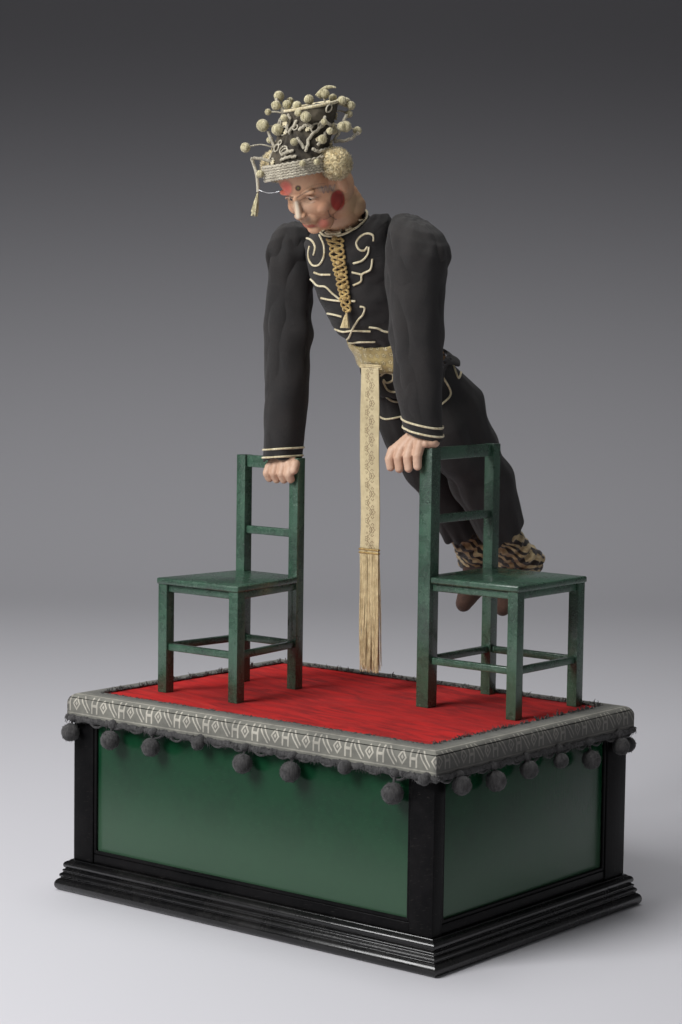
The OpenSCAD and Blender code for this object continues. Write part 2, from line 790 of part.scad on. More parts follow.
module carrying_sleeve() {
    side = acrobat_x + armhole_x + armhole_gap;
    top = sleeve_top(carry_x + 0.5, 30);
    low = [top[4], [carry_x + 3, (shoulder_y + drive_y) / 2, post_top_z + 43, 20.7, 20.7],
        [carry_cuff.x, carry_cuff.y, carry_cuff.z, cuff_r, cuff_r]];
    color(cloth_black) difference() {
        sleeve(top, low, carry_cuff.z);
        translate([side - 60, shoulder_y - 60, shoulder_z - 90]) cube([60, 120, 160]);
    }
}

module free_sleeve() {
    side = acrobat_x - armhole_x - armhole_gap;
    top = sleeve_top(free_x, 28);
    low = [top[4], [free_x - 2.5, shoulder_y, rail_top_z + 60, 22.5, 22.5],
        [free_cuff.x, free_cuff.y, free_cuff.z, free_cuff_r, free_cuff_r]];
    color(cloth_black) difference() {
        sleeve(top, low, free_cuff.z);
        translate([side, shoulder_y - 60, shoulder_z - 90]) cube([60, 120, 160]);
        rod_x(side - 5, side + 1, shoulder_y, shoulder_z, arm_shaft_r + gap);
    }
}

// A palm below its cuff, with a wrist that fits inside the cuff
module palm(cuff, r, wrist_l, knuckles) {
    fit = r - sleeve_t - gap;
    translate([cuff.x, cuff.y, cuff.z - 1]) cylinder(h = wrist_l + 1, r = fit);
    hull() {
        translate([cuff.x, cuff.y, cuff.z - 0.8]) cylinder(h = 0.5, r = fit, $fn = 32);
        for (p = knuckles) translate([p.x, p.y, cuff.z - gap - finger_r]) sphere(finger_r, $fn = 32);
    }
}

// Four fingers that hang from their knuckles, the middle ones longest
module fingers(first_x, spread, y, knuckle_z, tip_z) {
    for (k = [0:3]) translate([first_x + spread * k, y, 0])
        capsule([0, 0, knuckle_z], [0, 0, tip_z - 3 * sin(60 * k)], finger_r);
}

// The hand closed on the head of the hollow post, round the column
module carrying_hand() {
    first_x = carry_cuff.x - 27;
    spread = 10.5;
    finger_y = drive_y - drive_h - finger_r - gap;
    color(skin) difference() {
        union() {
            palm(carry_cuff, cuff_r, 8, [[first_x, finger_y + 2], [first_x + 3 * spread, finger_y + 2],
                [drive_x + 4, drive_y + 3]]);
            fingers(first_x, spread, finger_y, carry_cuff.z - finger_r - 1, post_top_z - 19);
        }
        translate([drive_x, drive_y, post_top_z - 1]) cylinder(h = 40, r = column_r + column_gap);
        translate([first_x - finger_r, finger_y + finger_r, post_top_z - 40])
            cube([drive_x, 40, 40 + gap]);
    }
}

// The hand that rests on the left chair, open at the back so that it can swing away
module free_hand() {
    first_x = left_chair_x - 7;
    spread = 9.7;
    finger_y = shoulder_y - rail_t / 2 - finger_r - 1;
    color(skin) difference() {
        union() {
            palm(free_cuff, free_cuff_r, 12, [[first_x, finger_y], [first_x + 3 * spread, finger_y]]);
            fingers(first_x, spread, finger_y, free_cuff.z - finger_r - 1, rail_top_z - 16);
        }
        translate([free_cuff.x, free_cuff.y, free_cuff.z - 1]) cylinder(h = 14, r = forearm_r + 0.8);
        translate([first_x - 10, finger_y + finger_r + 0.3, rail_top_z - 40])
            cube([60, 40, 40 + swing_gap]);
        translate([left_chair_x + left_back_w / 2 - leg_h - gap, shoulder_y - leg_h - gap, rail_top_z - 40])
            cube([2 * leg_t, 40, 40 + swing_gap]);
    }
}

module trunk_tube() {
    color(steel) difference() {
        rod_x(acrobat_x - 42, body_pinion_x + pinion_w / 2, shoulder_y, shoulder_z, trunk_tube_r);
        rod_x(acrobat_x - 43, body_pinion_x + pinion_w, shoulder_y, shoulder_z, arm_shaft_r + run);
    }
}

module body_pinion() {
    color(brass) difference() {
        along_x(body_pinion_x - pinion_w / 2, shoulder_y, shoulder_z)
            gear(rack_m, pinion_teeth, 180 / pinion_teeth, pinion_w);
        rod_x(body_pinion_x - pinion_w, body_pinion_x + pinion_w, shoulder_y, shoulder_z,
            trunk_tube_r + run);
    }
}

// Wooden core of the trunk, with the neck's eye above and the hips' lug below
module trunk_block() {
    top = 8;
    foot = -95;
    color(raw_wood) trunk_frame() difference() {
        union() {
            translate([0, 0, foot]) linear_extrude(top - foot)
                polygon([for (s = [[1, 1], [-1, 1], [-1, -1], [1, -1]]) for (k = [0, 1])
                    let (far = (s.x * s.y > 0) == (k == 0))
                    [s.x * (far ? 38 : 24), s.y * (far ? 10 : 20)]]);
            translate([-eye_w / 2, neck_y - eye_r, top - 1]) cube([eye_w, 2 * eye_r, neck_z - top + 1]);
            rod_x(-eye_w / 2, eye_w / 2, neck_y, neck_z, eye_r);
            translate([-lug_w / 2, hip_y - lug_r, -hip_d]) cube([lug_w, 2 * lug_r, hip_d + foot + 1]);
            rod_x(-lug_w / 2, lug_w / 2, hip_y, -hip_d, lug_r);
        }
        rod_x(-50, 50, 0, 0, trunk_tube_r + run);
        rod_x(-eye_w, eye_w, neck_y, neck_z, neck_pin_r + run);
        rod_x(-lug_w, lug_w, hip_y, -hip_d, hip_pin_r + run);
    }
}

// Jacket: chest and waist, then the skirt that stands over the hips
module jacket() {
    chest = [[0, 4, 22, 31, 18], [0, 0, 10, 47, 26], [0, 0, -40, 46, 31],
        [0, 0, waist_z, waist_a, waist_b]];
    skirt = [[0, 0, waist_z, waist_a, waist_b], [0, skirt_y, skirt_z, waist_a + 10.5, waist_b + 9.5]];
    lining = [[0, 0, waist_z + 6, waist_a, waist_b],
        [0, skirt_y, skirt_z - 1, waist_a + 10.5, waist_b + 9.5]];
    color(cloth_black) trunk_frame() difference() {
        intersection() {
            union() {
                lofted(chest);
                lofted(skirt);
                translate([0, neck_y, collar_foot]) cylinder(h = collar_top - collar_foot, r = collar_r);
            }
            translate([-armhole_x, -60, -hip_d - 60]) cube([2 * armhole_x, 120, hip_d + 100]);
        }
        intersection() {
            lofted([for (r = chest) [r[0], r[1], r[2] - jacket_t, r[3], r[4]]], jacket_t);
            translate([-armhole_x + jacket_t, -60, -hip_d])
                cube([2 * (armhole_x - jacket_t), 120, hip_d + 60]);
        }
        lofted(lining, jacket_t);
        translate([0, neck_y, neck_z - neck_r - 0.5]) cylinder(h = 2 * neck_r, r = neck_r + 2);
        rod_x(-60, 60, 0, 0, trunk_tube_r + gap);
    }
}

module belt() {
    inner = [waist_a + 1.1, waist_b + 0.9];
    color(gold_cloth) trunk_frame() difference() {
        union() {
            translate([0, 0, -belt_d - belt_w / 2]) linear_extrude(belt_w)
                polygon(ellipse(inner.x + belt_t, inner.y + belt_t));
            for (s = [-1, 1]) translate([sash_x + s * (sash_w / 2 + 2) - 1, bar_y - 1.6, -belt_d - 3])
                cube([2, 10, 6]);
            rod_x(sash_x - sash_w / 2 - 2, sash_x + sash_w / 2 + 2, bar_y, -belt_d, bar_r);
        }
        translate([0, 0, -belt_d - belt_w / 2 - 1]) linear_extrude(belt_w + 2)
            polygon(ellipse(inner.x, inner.y));
    }
}

// A strip's outline seen from above: folds that run down its length
function fold_line(half, t, depth, folds, side) = [for (k = [0:24])
    let (x = (k / 12 - 1) * half) [x * side, side * t / 2 + depth * sin(folds * 180 * x / half)]];

module sash() {
    color(gold_cloth) sash_frame() {
        difference() {
            rod_x(-sash_w / 2, sash_w / 2, 0, 0, loop_out);
            rod_x(-sash_w, sash_w, 0, 0, loop_r);
        }
        translate([0, 0, -sash_l]) linear_extrude(sash_l - loop_r - 0.4) polygon(concat(
            fold_line(sash_w / 2, sash_t, 0.9, 2, 1),
            [for (p = fold_line(sash_w / 2, sash_t, -0.9, 2, 1)) [-p.x, p.y - sash_t]]));
    }
}

module sash_tassels() {
    strands = 5;
    half = sash_w / 2;
    color(gold_cloth) sash_frame() translate([0, 0, -sash_l - tassel_l]) linear_extrude(tassel_l)
        for (k = [0:strands - 1]) translate([-half + (k + 0.5) * sash_w / strands, 0])
            polygon(ellipse(sash_w / strands * 0.62, 3, 16));
}

// The head, hollow at the neck, cut flat where the hat sits on it
module head_form() {
    hull() {
        for (ball = [nape, skull, face, chin, jaw]) for (s = [-1, 1])
            translate([s * ball[0].x, ball[0].y, ball[0].z]) sphere(ball[1], $fn = 32);
        hat_place() translate([0, 0, -1]) cylinder(h = 1, r = hat_r - skull_fit, $fn = 32);
    }
}

module head() {
    color(skin) head_frame() {
        difference() {
            union() {
                head_form();
                sphere(neck_r);
            }
            translate([-eye_w / 2 - 0.5, 3 - neck_r, -neck_r - 1])
                cube([eye_w + 1, 2 * neck_r - 6, neck_r + 10]);
            hat_place() translate([0, 0, -joint_gap]) cylinder(h = 40, r = 2 * hat_r);
            hat_place() difference() {
                translate([0, 0, -band_h / 2 - gap]) cylinder(h = 40, r = 2 * hat_r);
                translate([0, 0, -band_h]) cylinder(h = 60, r = hat_r - skull_fit - gap);
            }
        }
        rod_x(-neck_r + 2, neck_r - 2, 0, 0, neck_pin_r);
    }
}

module hat() {
    color(cloth_black) head_frame() hat_place() difference() {
        union() {
            translate([0, 0, -band_h / 2]) cylinder(h = band_h, r = hat_r);
            hull() {
                cylinder(h = 1, r = hat_r - 2, $fn = 32);
                translate([0, hat_lean, hat_h - 1]) cylinder(h = 1, r = hat_top_r, $fn = 32);
            }
        }
        translate([0, 0, -band_h / 2 - 1]) cylinder(h = band_h / 2 + 1 - 0.01, r = hat_r - 1.2);
    }
}

// Pompoms on springy wires, in two rows round the crown and one over the brow
module spray(angle, turn_r, z, out, up) {
    foot = [turn_r * cos(angle), turn_r * sin(angle), z];
    ball = foot + [out * cos(angle), out * sin(angle), up];
    capsule(foot, ball, 0.7);
    translate(ball) sphere(spray_r);
}

module hat_sprays() {
    color(cream) head_frame() hat_place() {
        for (k = [0:6]) translate([0, hat_lean, 0])
            spray(k * 360 / 7, hat_top_r - 2, hat_h + 0.9, 10, 5);
        for (k = [0:4]) translate([0, hat_lean / 2, 0])
            spray(180 + k * 45, (hat_r - 2 + hat_top_r) / 2 + 1, hat_h / 2, 12, 3);
        for (k = [0:3]) spray(225 + k * 30, hat_r + 0.9, 2, 8, 4);
    }
}

// Balls cut flat where they lie against the hat
module ear_pompoms() {
    flat = ear_c.x - hat_r - gap;
    color(cream) head_frame() for (s = [-1, 1])
        translate([s * ear_c.x, ear_c.y, ear_c.z]) rotate([0, s * 90, 0]) rotate_extrude()
            intersection() {
                circle(ear_pompom_r);
                translate([0, -flat]) square(2 * ear_pompom_r);
            }
}

module arm_shaft() {
    color(steel) rod_x(free_x - 17, bearing_out + bearing_t + 0.5, shoulder_y, shoulder_z, arm_shaft_r);
}

module arm_pinion() {
    color(brass) difference() {
        along_x(arm_pinion_x - pinion_w / 2, shoulder_y, shoulder_z)
            gear(rack_m, pinion_teeth, 180 / pinion_teeth, pinion_w);
        rod_x(arm_pinion_x - pinion_w, arm_pinion_x + pinion_w, shoulder_y, shoulder_z, arm_shaft_r + run);
    }
}

module free_arm_core() {
    color(raw_wood) difference() {
        union() {
            rod_x(free_x - hub_l / 2, free_x + hub_l / 2, shoulder_y, shoulder_z, hub_r);
            capsule([free_x, shoulder_y, shoulder_z - 5],
                [free_cuff.x, shoulder_y, free_cuff.z + forearm_r + 0.5], forearm_r);
        }
        rod_x(free_x - hub_l, free_x + hub_l, shoulder_y, shoulder_z, arm_shaft_r + run);
    }
}

module leg_core() {
    color(raw_wood) trunk_frame() {
        difference() {
            union() {
                rod_x(-hip_half, hip_half, hip_y, -hip_d, hip_r);
                for (s = [-1, 1]) translate([s * leg_x, leg_y, ankle_z - 14])
                    cylinder(h = -hip_d - ankle_z + 14, r = dowel_r);
            }
            translate([-lug_w / 2 - gap, hip_y - hip_r - 1, -hip_d - lug_r - 2])
                cube([lug_w + 2 * gap, 2 * hip_r + 2, lug_r + hip_r + 4]);
        }
        rod_x(-lug_w / 2 - 2, lug_w / 2 + 2, hip_y, -hip_d, hip_pin_r);
    }
}

module trousers() {
    rings = [[0, hip_y, -hip_d - 6, 20, 22], [0, leg_y - 1, -hip_d - 58, 25.5, 31],
        [0, leg_y, -hip_d - 148, 25, 30], [0, leg_y, hem_z, 21, 25]];
    color(cloth_black) trunk_frame() difference() {
        for (s = [-1, 1]) intersection() {
            lofted([for (k = [0:3]) let (r = rings[k])
                [s * (k == 0 ? 20 : leg_x), r[1], r[2], r[3], r[4]]]);
            translate([s > 0 ? joint_gap : -60, -60, sole_z]) cube([60 - joint_gap, 140, -sole_z]);
        }
        rod_x(-hip_half - gap, hip_half + gap, hip_y, -hip_d, hip_r + gap);
        for (s = [-1, 1]) translate([s * leg_x, leg_y, sole_z]) {
            cylinder(h = -hip_d - sole_z, r = dowel_r + joint_gap);
            cylinder(h = hem_z + 13 - sole_z, r = 17 + gap);
        }
    }
}

module leggings() {
    color(gold_cloth) trunk_frame() for (s = [-1, 1])
        translate([s * leg_x, leg_y, ankle_z - 6]) difference() {
            cylinder(h = hem_z + 12 - ankle_z + 6, r1 = 12, r2 = 17);
            translate([0, 0, -1]) cylinder(h = hem_z + 20 - ankle_z, r = dowel_r + joint_gap);
        }
}

module slippers() {
    color(cloth_black) trunk_frame() difference() {
        for (s = [-1, 1]) translate([s * leg_x, leg_y, sole_z]) hull() {
            translate([0, 24, 10]) sphere(11, $fn = 32);
            translate([0, -42, 8]) sphere(8, $fn = 32);
            translate([0, -22, 10]) sphere(11.5, $fn = 32);
            translate([0, 0, 22]) cylinder(h = 8, r = 13.5, $fn = 32);
        }
        translate([-80, -80, sole_z - 20]) cube([160, 160, 20]);
        for (s = [-1, 1]) translate([s * leg_x, leg_y, ankle_z - 14 - joint_gap]) {
            cylinder(h = 40, r = dowel_r + joint_gap);
            translate([0, 0, 8]) cylinder(h = 40, r = 12.2 + joint_gap);
        }
    }
}

// Clockwork: two plates with bearings, feet and the levers' studs
module motor_plates() {
    color(brass) difference() {
        union() {
            for (x = [plate_in - plate_t, plate_x]) translate([x, plate_front, floor_t])
                cube([plate_t, plate_back - plate_front, plate_h]);
            translate([plate_in - plate_t - 9, plate_front, floor_t])
                cube([10, plate_back - plate_front, 3]);
            translate([plate_x + 1, plate_front, floor_t]) cube([10, plate_back - plate_front, 3]);
            rod_x(ratchet_x - 0.5, plate_in - 1, barrel_y + click_pin.x, arbor_z + click_pin.y,
                click_pin_r);
            rod_x(plate_x + 1, body_cam_x + cam_t + 0.5, body_pivot_y, body_pivot_z, stud_r);
            rod_x(plate_x + 1, arm_cam_x + cam_t + 0.5, arm_pivot_y, arm_pivot_z, stud_r);
        }
        rod_x(plate_in - plate_t - 1, plate_in + 1, barrel_y, arbor_z, extension_r + run);
        rod_x(plate_x - 1, plate_x + plate_t + 1, barrel_y, arbor_z, pivot_r + run);
        rod_x(plate_in - plate_t - 1, plate_in + 1, fly_y, fly_z + stop_up, stop_r + run);
        for (x = [plate_in - plate_t, plate_x]) {
            rod_x(x - 1, x + plate_t + 1, cam_y, arbor_z, camshaft_r + run);
            rod_x(x - 1, x + plate_t + 1, second_y, second_z, second_r + run);
            rod_x(x - 1, x + plate_t + 1, fly_y, fly_z, fly_shaft_r + run);
        }
    }
}

module motor_pillars() {
    color(brass) for (y = [plate_front + pillar_in, plate_back - pillar_in])
        for (z = [floor_t + pillar_in, floor_t + plate_h - pillar_in])
            rod_x(plate_in, plate_x, y, z, pillar_r);
}

// The barrel turns on the arbor and carries the great wheel
module barrel() {
    color(brass) difference() {
        union() {
            rod_x(barrel_x, great_x + 0.5, barrel_y, arbor_z, barrel_r);
            along_x(great_x, barrel_y, arbor_z) gear(great_m, great_teeth, 0, wheel_t);
        }
        rod_x(barrel_x + barrel_wall, great_x, barrel_y, arbor_z, barrel_r - barrel_wall);
        rod_x(barrel_x - 1, great_x + wheel_t + 1, barrel_y, arbor_z, arbor_r + run);
    }
}

module mainspring() {
    turns = 6;
    steps = 24 * turns;
    first = arbor_r + gap + 0.4;
    last = barrel_r - barrel_wall - gap - 0.4;
    color(steel) along_x(barrel_x + barrel_wall + 1, barrel_y, arbor_z)
        linear_extrude(barrel_l - barrel_wall - 2) polygon([for (side = [1, -1]) for (k = [0:steps])
            let (s = side > 0 ? k : steps - k, a = s * 15,
                 r = first + (last - first) * s / steps + side * 0.4)
            r * [cos(a), sin(a)]]);
}

module winding_arbor() {
    color(steel) {
        rod_x(great_x + wheel_t, plate_x + plate_t, barrel_y, arbor_z, pivot_r);
        rod_x(barrel_x - 0.5, great_x + wheel_t + 0.5, barrel_y, arbor_z, arbor_r);
        rod_x(key_x - 1, barrel_x, barrel_y, arbor_z, extension_r);
        translate([key_x - key_l, barrel_y - square_w / 2, arbor_z - square_w / 2])
            cube([key_l, square_w, square_w]);
        along_x(ratchet_x, barrel_y, arbor_z) linear_extrude(ratchet_t)
            polygon([for (i = [0:ratchet_teeth - 1]) for (k = [0, 1])
                let (a = 90 + (i + k) * 360 / ratchet_teeth, r = k == 0 ? ratchet_root : ratchet_r)
                r * [cos(a), sin(a)]]);
    }
}

module winding_key() {
    bow_r = 10;
    bow_x = key_x - 1 - key_l - 9;
    color(brass) difference() {
        union() {
            rod_x(key_x - 1 - key_l - 2, key_x - 1.2, barrel_y, arbor_z, 6);
            translate([bow_x - 3, barrel_y - 1.5, arbor_z - 8]) cube([12, 3, 16]);
            for (s = [-1, 1]) translate([bow_x, barrel_y + 1.5, arbor_z + s * 14])
                rotate([90, 0, 0]) cylinder(h = 3, r = bow_r);
        }
        translate([key_x - 1 - key_l, barrel_y - square_w / 2 - run, arbor_z - square_w / 2 - run])
            cube([key_l + 1, square_w + 2 * run, square_w + 2 * run]);
        for (s = [-1, 1]) translate([bow_x, barrel_y + 3, arbor_z + s * 14])
            rotate([90, 0, 0]) cylinder(h = 6, r = bow_r / 2);
    }
}

module click() {
    color(steel) along_x(ratchet_x, barrel_y, arbor_z) linear_extrude(ratchet_t - 0.2) difference() {
        union() {
            translate(click_pin) circle(3.4);
            link2d(click_pin, click_elbow, 3);
            link2d(click_elbow, click_nose, 1.2);
            translate(click_elbow) circle(1.5);
        }
        translate(click_pin) circle(click_pin_r + run);
    }
}

// The camshaft with its pinion, its wheel and the pinion that drives the music
module camshaft() {
    color(brass) {
        rod_x(music_wheel_x - 1, arm_cam_x + cam_t + 1, cam_y, arbor_z, camshaft_r);
        along_x(great_x, cam_y, arbor_z) gear(great_m, cam_pinion_teeth, 180 / cam_pinion_teeth, wheel_t);
        along_x(cam_wheel_x, cam_y, arbor_z) gear(rack_m, cam_wheel_teeth, second_angle, wheel_t);
        along_x(music_wheel_x, cam_y, arbor_z) gear(rack_m, music_pinion_teeth, 180, wheel_t);
    }
}

// The direction at an angle from straight up, towards the back
function cam_way(angle) = [sin(angle), cos(angle)];

// One cam: high all round, but low from a step that lets its lever fall to a ramp that lifts it again
module cam(x, step_at, low_r) {
    reach = 2 * cam_r;
    along_x(x, cam_y, arbor_z) linear_extrude(cam_t) difference() {
        circle(cam_r);
        difference() {
            polygon([[0, 0],
                reach * cam_way(step_at),
                reach * cam_way((step_at + ramp_at) / 2),
                reach * cam_way(ramp_at),
                reach * (cam_way(ramp_at) + cam_way(ramp_at - 90)),
                (low_r - ramp_cut) * cam_way(ramp_at) + reach * cam_way(ramp_at - 90),
                (low_r - ramp_cut) * cam_way(ramp_at)]);
            circle(low_r);
        }
        circle(camshaft_r + run);
    }
}

module cams() {
    color(brass) {
        cam(body_cam_x, body_step_at, body_low_r);
        cam(arm_cam_x, arm_step_at, arm_low_r);
    }
}

module second_arbor() {
    color(brass) {
        rod_x(plate_in - plate_t, plate_x + plate_t, second_y, second_z, second_r);
        along_x(cam_wheel_x - 0.5, second_y, second_z)
            gear(rack_m, second_teeth, second_angle + 180 + 180 / second_teeth, wheel_t + 1);
        along_x(second_wheel_x, second_y, second_z)
            gear(rack_m, second_wheel_teeth, fly_angle, wheel_t);
    }
}

module fly() {
    vane_x = second_wheel_x - 3 - vane_l;
    color(brass) {
        rod_x(plate_in - plate_t, plate_x + plate_t, fly_y, fly_z, fly_shaft_r);
        along_x(second_wheel_x - 0.5, fly_y, fly_z)
            gear(rack_m, second_teeth, fly_angle + 180 + 180 / second_teeth, wheel_t + 1);
        rod_x(vane_x, vane_x + vane_l, fly_y, fly_z, 3);
        translate([vane_x, fly_y - fly_r, fly_z - 0.4]) cube([vane_l, 2 * fly_r, 0.8]);
    }
}

module body_lever() {
    pin = [body_pivot_y, body_pivot_z];
    rod_nose = [body_rod_y, body_rod_z];
    cam_nose = [cam_y + 0.5, nose_z];
    color(steel) along_x(body_cam_x, 0, 0) linear_extrude(cam_t) difference() {
        union() {
            link2d(pin, rod_nose, 2 * nose_r);
            link2d(pin, cam_nose, 2 * nose_r - 1);
            translate(cam_nose) circle(nose_r);
            translate(pin) circle(stud_r + hub_wall);
        }
        translate(pin) circle(stud_r + run);
    }
}

module arm_lever() {
    pin = [arm_pivot_y, arm_pivot_z];
    color(steel) along_x(arm_cam_x, 0, 0) linear_extrude(cam_t) difference() {
        union() {
            link2d(pin, [drive_y, arm_pivot_z], 2 * nose_r);
            link2d([cam_y, arm_pivot_z], [cam_y, nose_z], 2 * nose_r);
            translate(pin) circle(stud_r + hub_wall);
        }
        translate(pin) circle(stud_r + run);
    }
}

// A push rod with a foot on its lever's nose and a rack beside its pinion
module push_rod(x, foot_z, block_z, first, last) {
    translate([x, 0, 0]) {
        translate([0, drive_y, foot_z]) cylinder(h = block_z + 1 - foot_z, r = rod_r);
        translate([0, drive_y, foot_z]) cylinder(h = foot_h, r = foot_r);
        translate([-rack_w / 2, drive_y - rod_r, block_z]) cube([rack_w, rod_r + rack_back, block_h]);
        rack(first, last, block_z + block_h - 0.01);
    }
}

module body_rod() {
    color(steel) push_rod(body_pinion_x, body_foot_z, body_block_z, -7, 1);
}

module arm_rod() {
    color(steel) push_rod(arm_pinion_x, arm_foot_z, arm_block_z, -2, 4);
}

module stop_rod() {
    color(steel) {
        rod_x(key_x - 6, stop_end, fly_y, fly_z + stop_up, stop_r);
        rod_x(key_x - 9, key_x - 5, fly_y, fly_z + stop_up, 5);
    }
}

// Music: a bedplate, a pinned cylinder and a steel comb
module music_bedplate() {
    left = music_x - cylinder_l - 8;
    right = music_wheel_x - 6;
    color(brass) difference() {
        union() {
            translate([left, music_y - 44, floor_t]) cube([right - left, 62, 6]);
            for (x = [left, right - upright_t]) translate([x, music_y - 8, floor_t + 5])
                cube([upright_t, 16, arbor_z + 8 - floor_t - 5]);
            translate([music_x - cylinder_l, music_y - 40, floor_t + 5])
                cube([cylinder_l, 14, arbor_z - 1 - floor_t - 5]);
        }
        for (x = [left, right - upright_t])
            rod_x(x - 1, x + upright_t + 1, music_y, arbor_z, second_r + run);
    }
}

module music_cylinder() {
    color(brass) {
        rod_x(music_x - cylinder_l, music_x, music_y, arbor_z, cylinder_r);
        rod_x(music_x - cylinder_l - 9, music_wheel_x + wheel_t + 0.5, music_y, arbor_z, second_r);
        along_x(music_wheel_x, music_y, arbor_z)
            gear(rack_m, music_wheel_teeth, 180 / music_wheel_teeth, wheel_t);
    }
}

module music_comb() {
    teeth = 32;
    tooth_l = 12;
    tip_y = music_y - cylinder_r - gap;
    color(steel) translate([music_x - cylinder_l, 0, arbor_z - 1]) {
        translate([0, tip_y - tooth_l - 12, 0]) cube([cylinder_l, 12.01, 2]);
        for (k = [0:teeth - 1]) translate([(k + 0.1) * cylinder_l / teeth, tip_y - tooth_l, 0])
            cube([0.8 * cylinder_l / teeth, tooth_l, 1.2]);
    }
}

plinth();
floor_board();
cabinet_frame();
front_panel();
back_panel();
side_panels();
top_board();
carpet();
trim_band();
pompom_fringe();
left_chair_seat();
left_chair_legs();
left_chair_rails();
right_chair_seat();
right_chair_legs();
drive_post();
right_chair_rails();
drive_column();
shoulder_bracket();
carrying_hand();
carrying_sleeve();
trunk_tube();
body_pinion();
trunk_block();
jacket();
belt();
sash();
sash_tassels();
head();
hat();
hat_sprays();
ear_pompoms();
arm_shaft();
arm_pinion();
free_arm_core();
free_sleeve();
free_hand();
leg_core();
trousers();
leggings();
slippers();
motor_plates();
motor_pillars();
barrel();
mainspring();
winding_arbor();
winding_key();
click();
camshaft();
cams();
second_arbor();
fly();
body_lever();
arm_lever();
body_rod();
arm_rod();
stop_rod();
music_bedplate();
music_cylinder();
music_comb();
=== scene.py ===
"""Looks of a somersaulting automaton: an acrobat held between two chairs on a clockwork cabinet."""
from __future__ import annotations

import json
import logging
import math
import random
from contextlib import contextmanager
from dataclasses import dataclass
from enum import Enum
from typing import Callable, Iterator, Sequence

import bmesh
import bpy
from mathutils import Matrix, Vector, noise
from mathutils.bvhtree import BVHTree

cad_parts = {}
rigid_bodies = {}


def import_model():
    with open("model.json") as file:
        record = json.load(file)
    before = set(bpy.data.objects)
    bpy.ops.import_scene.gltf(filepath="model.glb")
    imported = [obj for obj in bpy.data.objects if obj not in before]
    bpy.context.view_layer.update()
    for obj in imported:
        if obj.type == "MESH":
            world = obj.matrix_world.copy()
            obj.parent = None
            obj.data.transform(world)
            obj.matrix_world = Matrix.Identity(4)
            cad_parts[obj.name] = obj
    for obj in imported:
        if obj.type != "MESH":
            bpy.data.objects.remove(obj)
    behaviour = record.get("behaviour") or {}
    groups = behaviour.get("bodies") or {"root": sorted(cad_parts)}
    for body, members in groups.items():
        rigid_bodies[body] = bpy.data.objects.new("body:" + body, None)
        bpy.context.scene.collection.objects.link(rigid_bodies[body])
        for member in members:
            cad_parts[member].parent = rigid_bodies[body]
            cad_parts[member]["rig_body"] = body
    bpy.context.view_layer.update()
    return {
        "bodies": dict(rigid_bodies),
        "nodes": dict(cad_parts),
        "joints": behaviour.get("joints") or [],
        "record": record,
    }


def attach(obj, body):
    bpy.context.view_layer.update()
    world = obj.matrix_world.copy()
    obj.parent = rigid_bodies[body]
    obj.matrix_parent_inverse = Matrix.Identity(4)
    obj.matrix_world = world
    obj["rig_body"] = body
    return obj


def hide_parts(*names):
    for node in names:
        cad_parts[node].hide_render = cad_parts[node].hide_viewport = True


LOG = logging.getLogger("automaton")
MM = 0.001
SAME_PLACE = 1e-6

Pixel = tuple[float, float]
Colour = tuple[float, float, float]
Shape = Callable[[float, float], Vector]
Depth = Callable[[Vector, Vector], float]


class Slot(Enum):
    """The record's material slots."""

    EBONY = "ebonised_wood"
    PANEL = "green_panel"
    BARE_WOOD = "bare_wood"
    VELVET = "red_velvet"
    GALLOON = "galloon"
    FRINGE = "black_fringe"
    CHAIR = "green_paint"
    COTTON = "black_cotton"
    FLESH = "flesh_paint"
    BROCADE = "gold_brocade"
    SILK = "silk_fringe"
    HAT = "hat_cloth"
    CREAM = "cream_wool"
    TIGER = "tiger_cloth"
    SLIPPER = "slipper_cloth"
    BRASS = "brass"
    STEEL = "steel"


def at(x: float, y: float, z: float) -> Vector:
    """Returns a place in metres from millimetres."""
    return Vector((x, y, z)) * MM


def paint_colour(red: int, green: int, blue: int) -> Colour:
    """Turns a colour as a screen shows it into the linear one that a shader takes.

    Args:
        red: Red, from 0 to 255.
        green: Green, from 0 to 255.
        blue: Blue, from 0 to 255.

    Returns:
        The linear colour.
    """
    shares = (channel / 255 for channel in (red, green, blue))
    return tuple(s / 12.92 if s <= 0.04045 else ((s + 0.055) / 1.055) ** 2.4 for s in shares)


def clamped(value: float) -> float:
    """Returns a value held between 0 and 1."""
    return max(0.0, min(1.0, value))


def bump(distance: float, width: float) -> float:
    """Returns a soft hump, 1 where the distance is 0 and near 0 past twice the width."""
    return math.exp(-((distance / width) ** 2))


def flowing(points: Sequence[Sequence[float]], steps: int) -> list[Vector]:
    """Draws a smooth curve through points.

    Args:
        points: The points that the curve passes through.
        steps: How many steps lie between two of them.

    Returns:
        The points along the curve.
    """
    knots = [Vector(p) for p in points]
    last = len(knots) - 1
    curve = []
    for k in range(last):
        a, b, c, d = knots[max(k - 1, 0)], knots[k], knots[k + 1], knots[min(k + 2, last)]
        for step in range(steps):
            t = step / steps
            curve.append(0.5 * (2 * b + (c - a) * t + (2 * a - 5 * b + 4 * c - d) * t * t
                                + (3 * b - a - 3 * c + d) * t ** 3))
    curve.append(knots[-1])
    return curve


def pick(*objects: bpy.types.Object) -> None:
    """Selects these objects alone and makes the last one active."""
    bpy.ops.object.select_all(action="DESELECT")
    for obj in objects:
        obj.select_set(True)
    bpy.context.view_layer.objects.active = objects[-1]


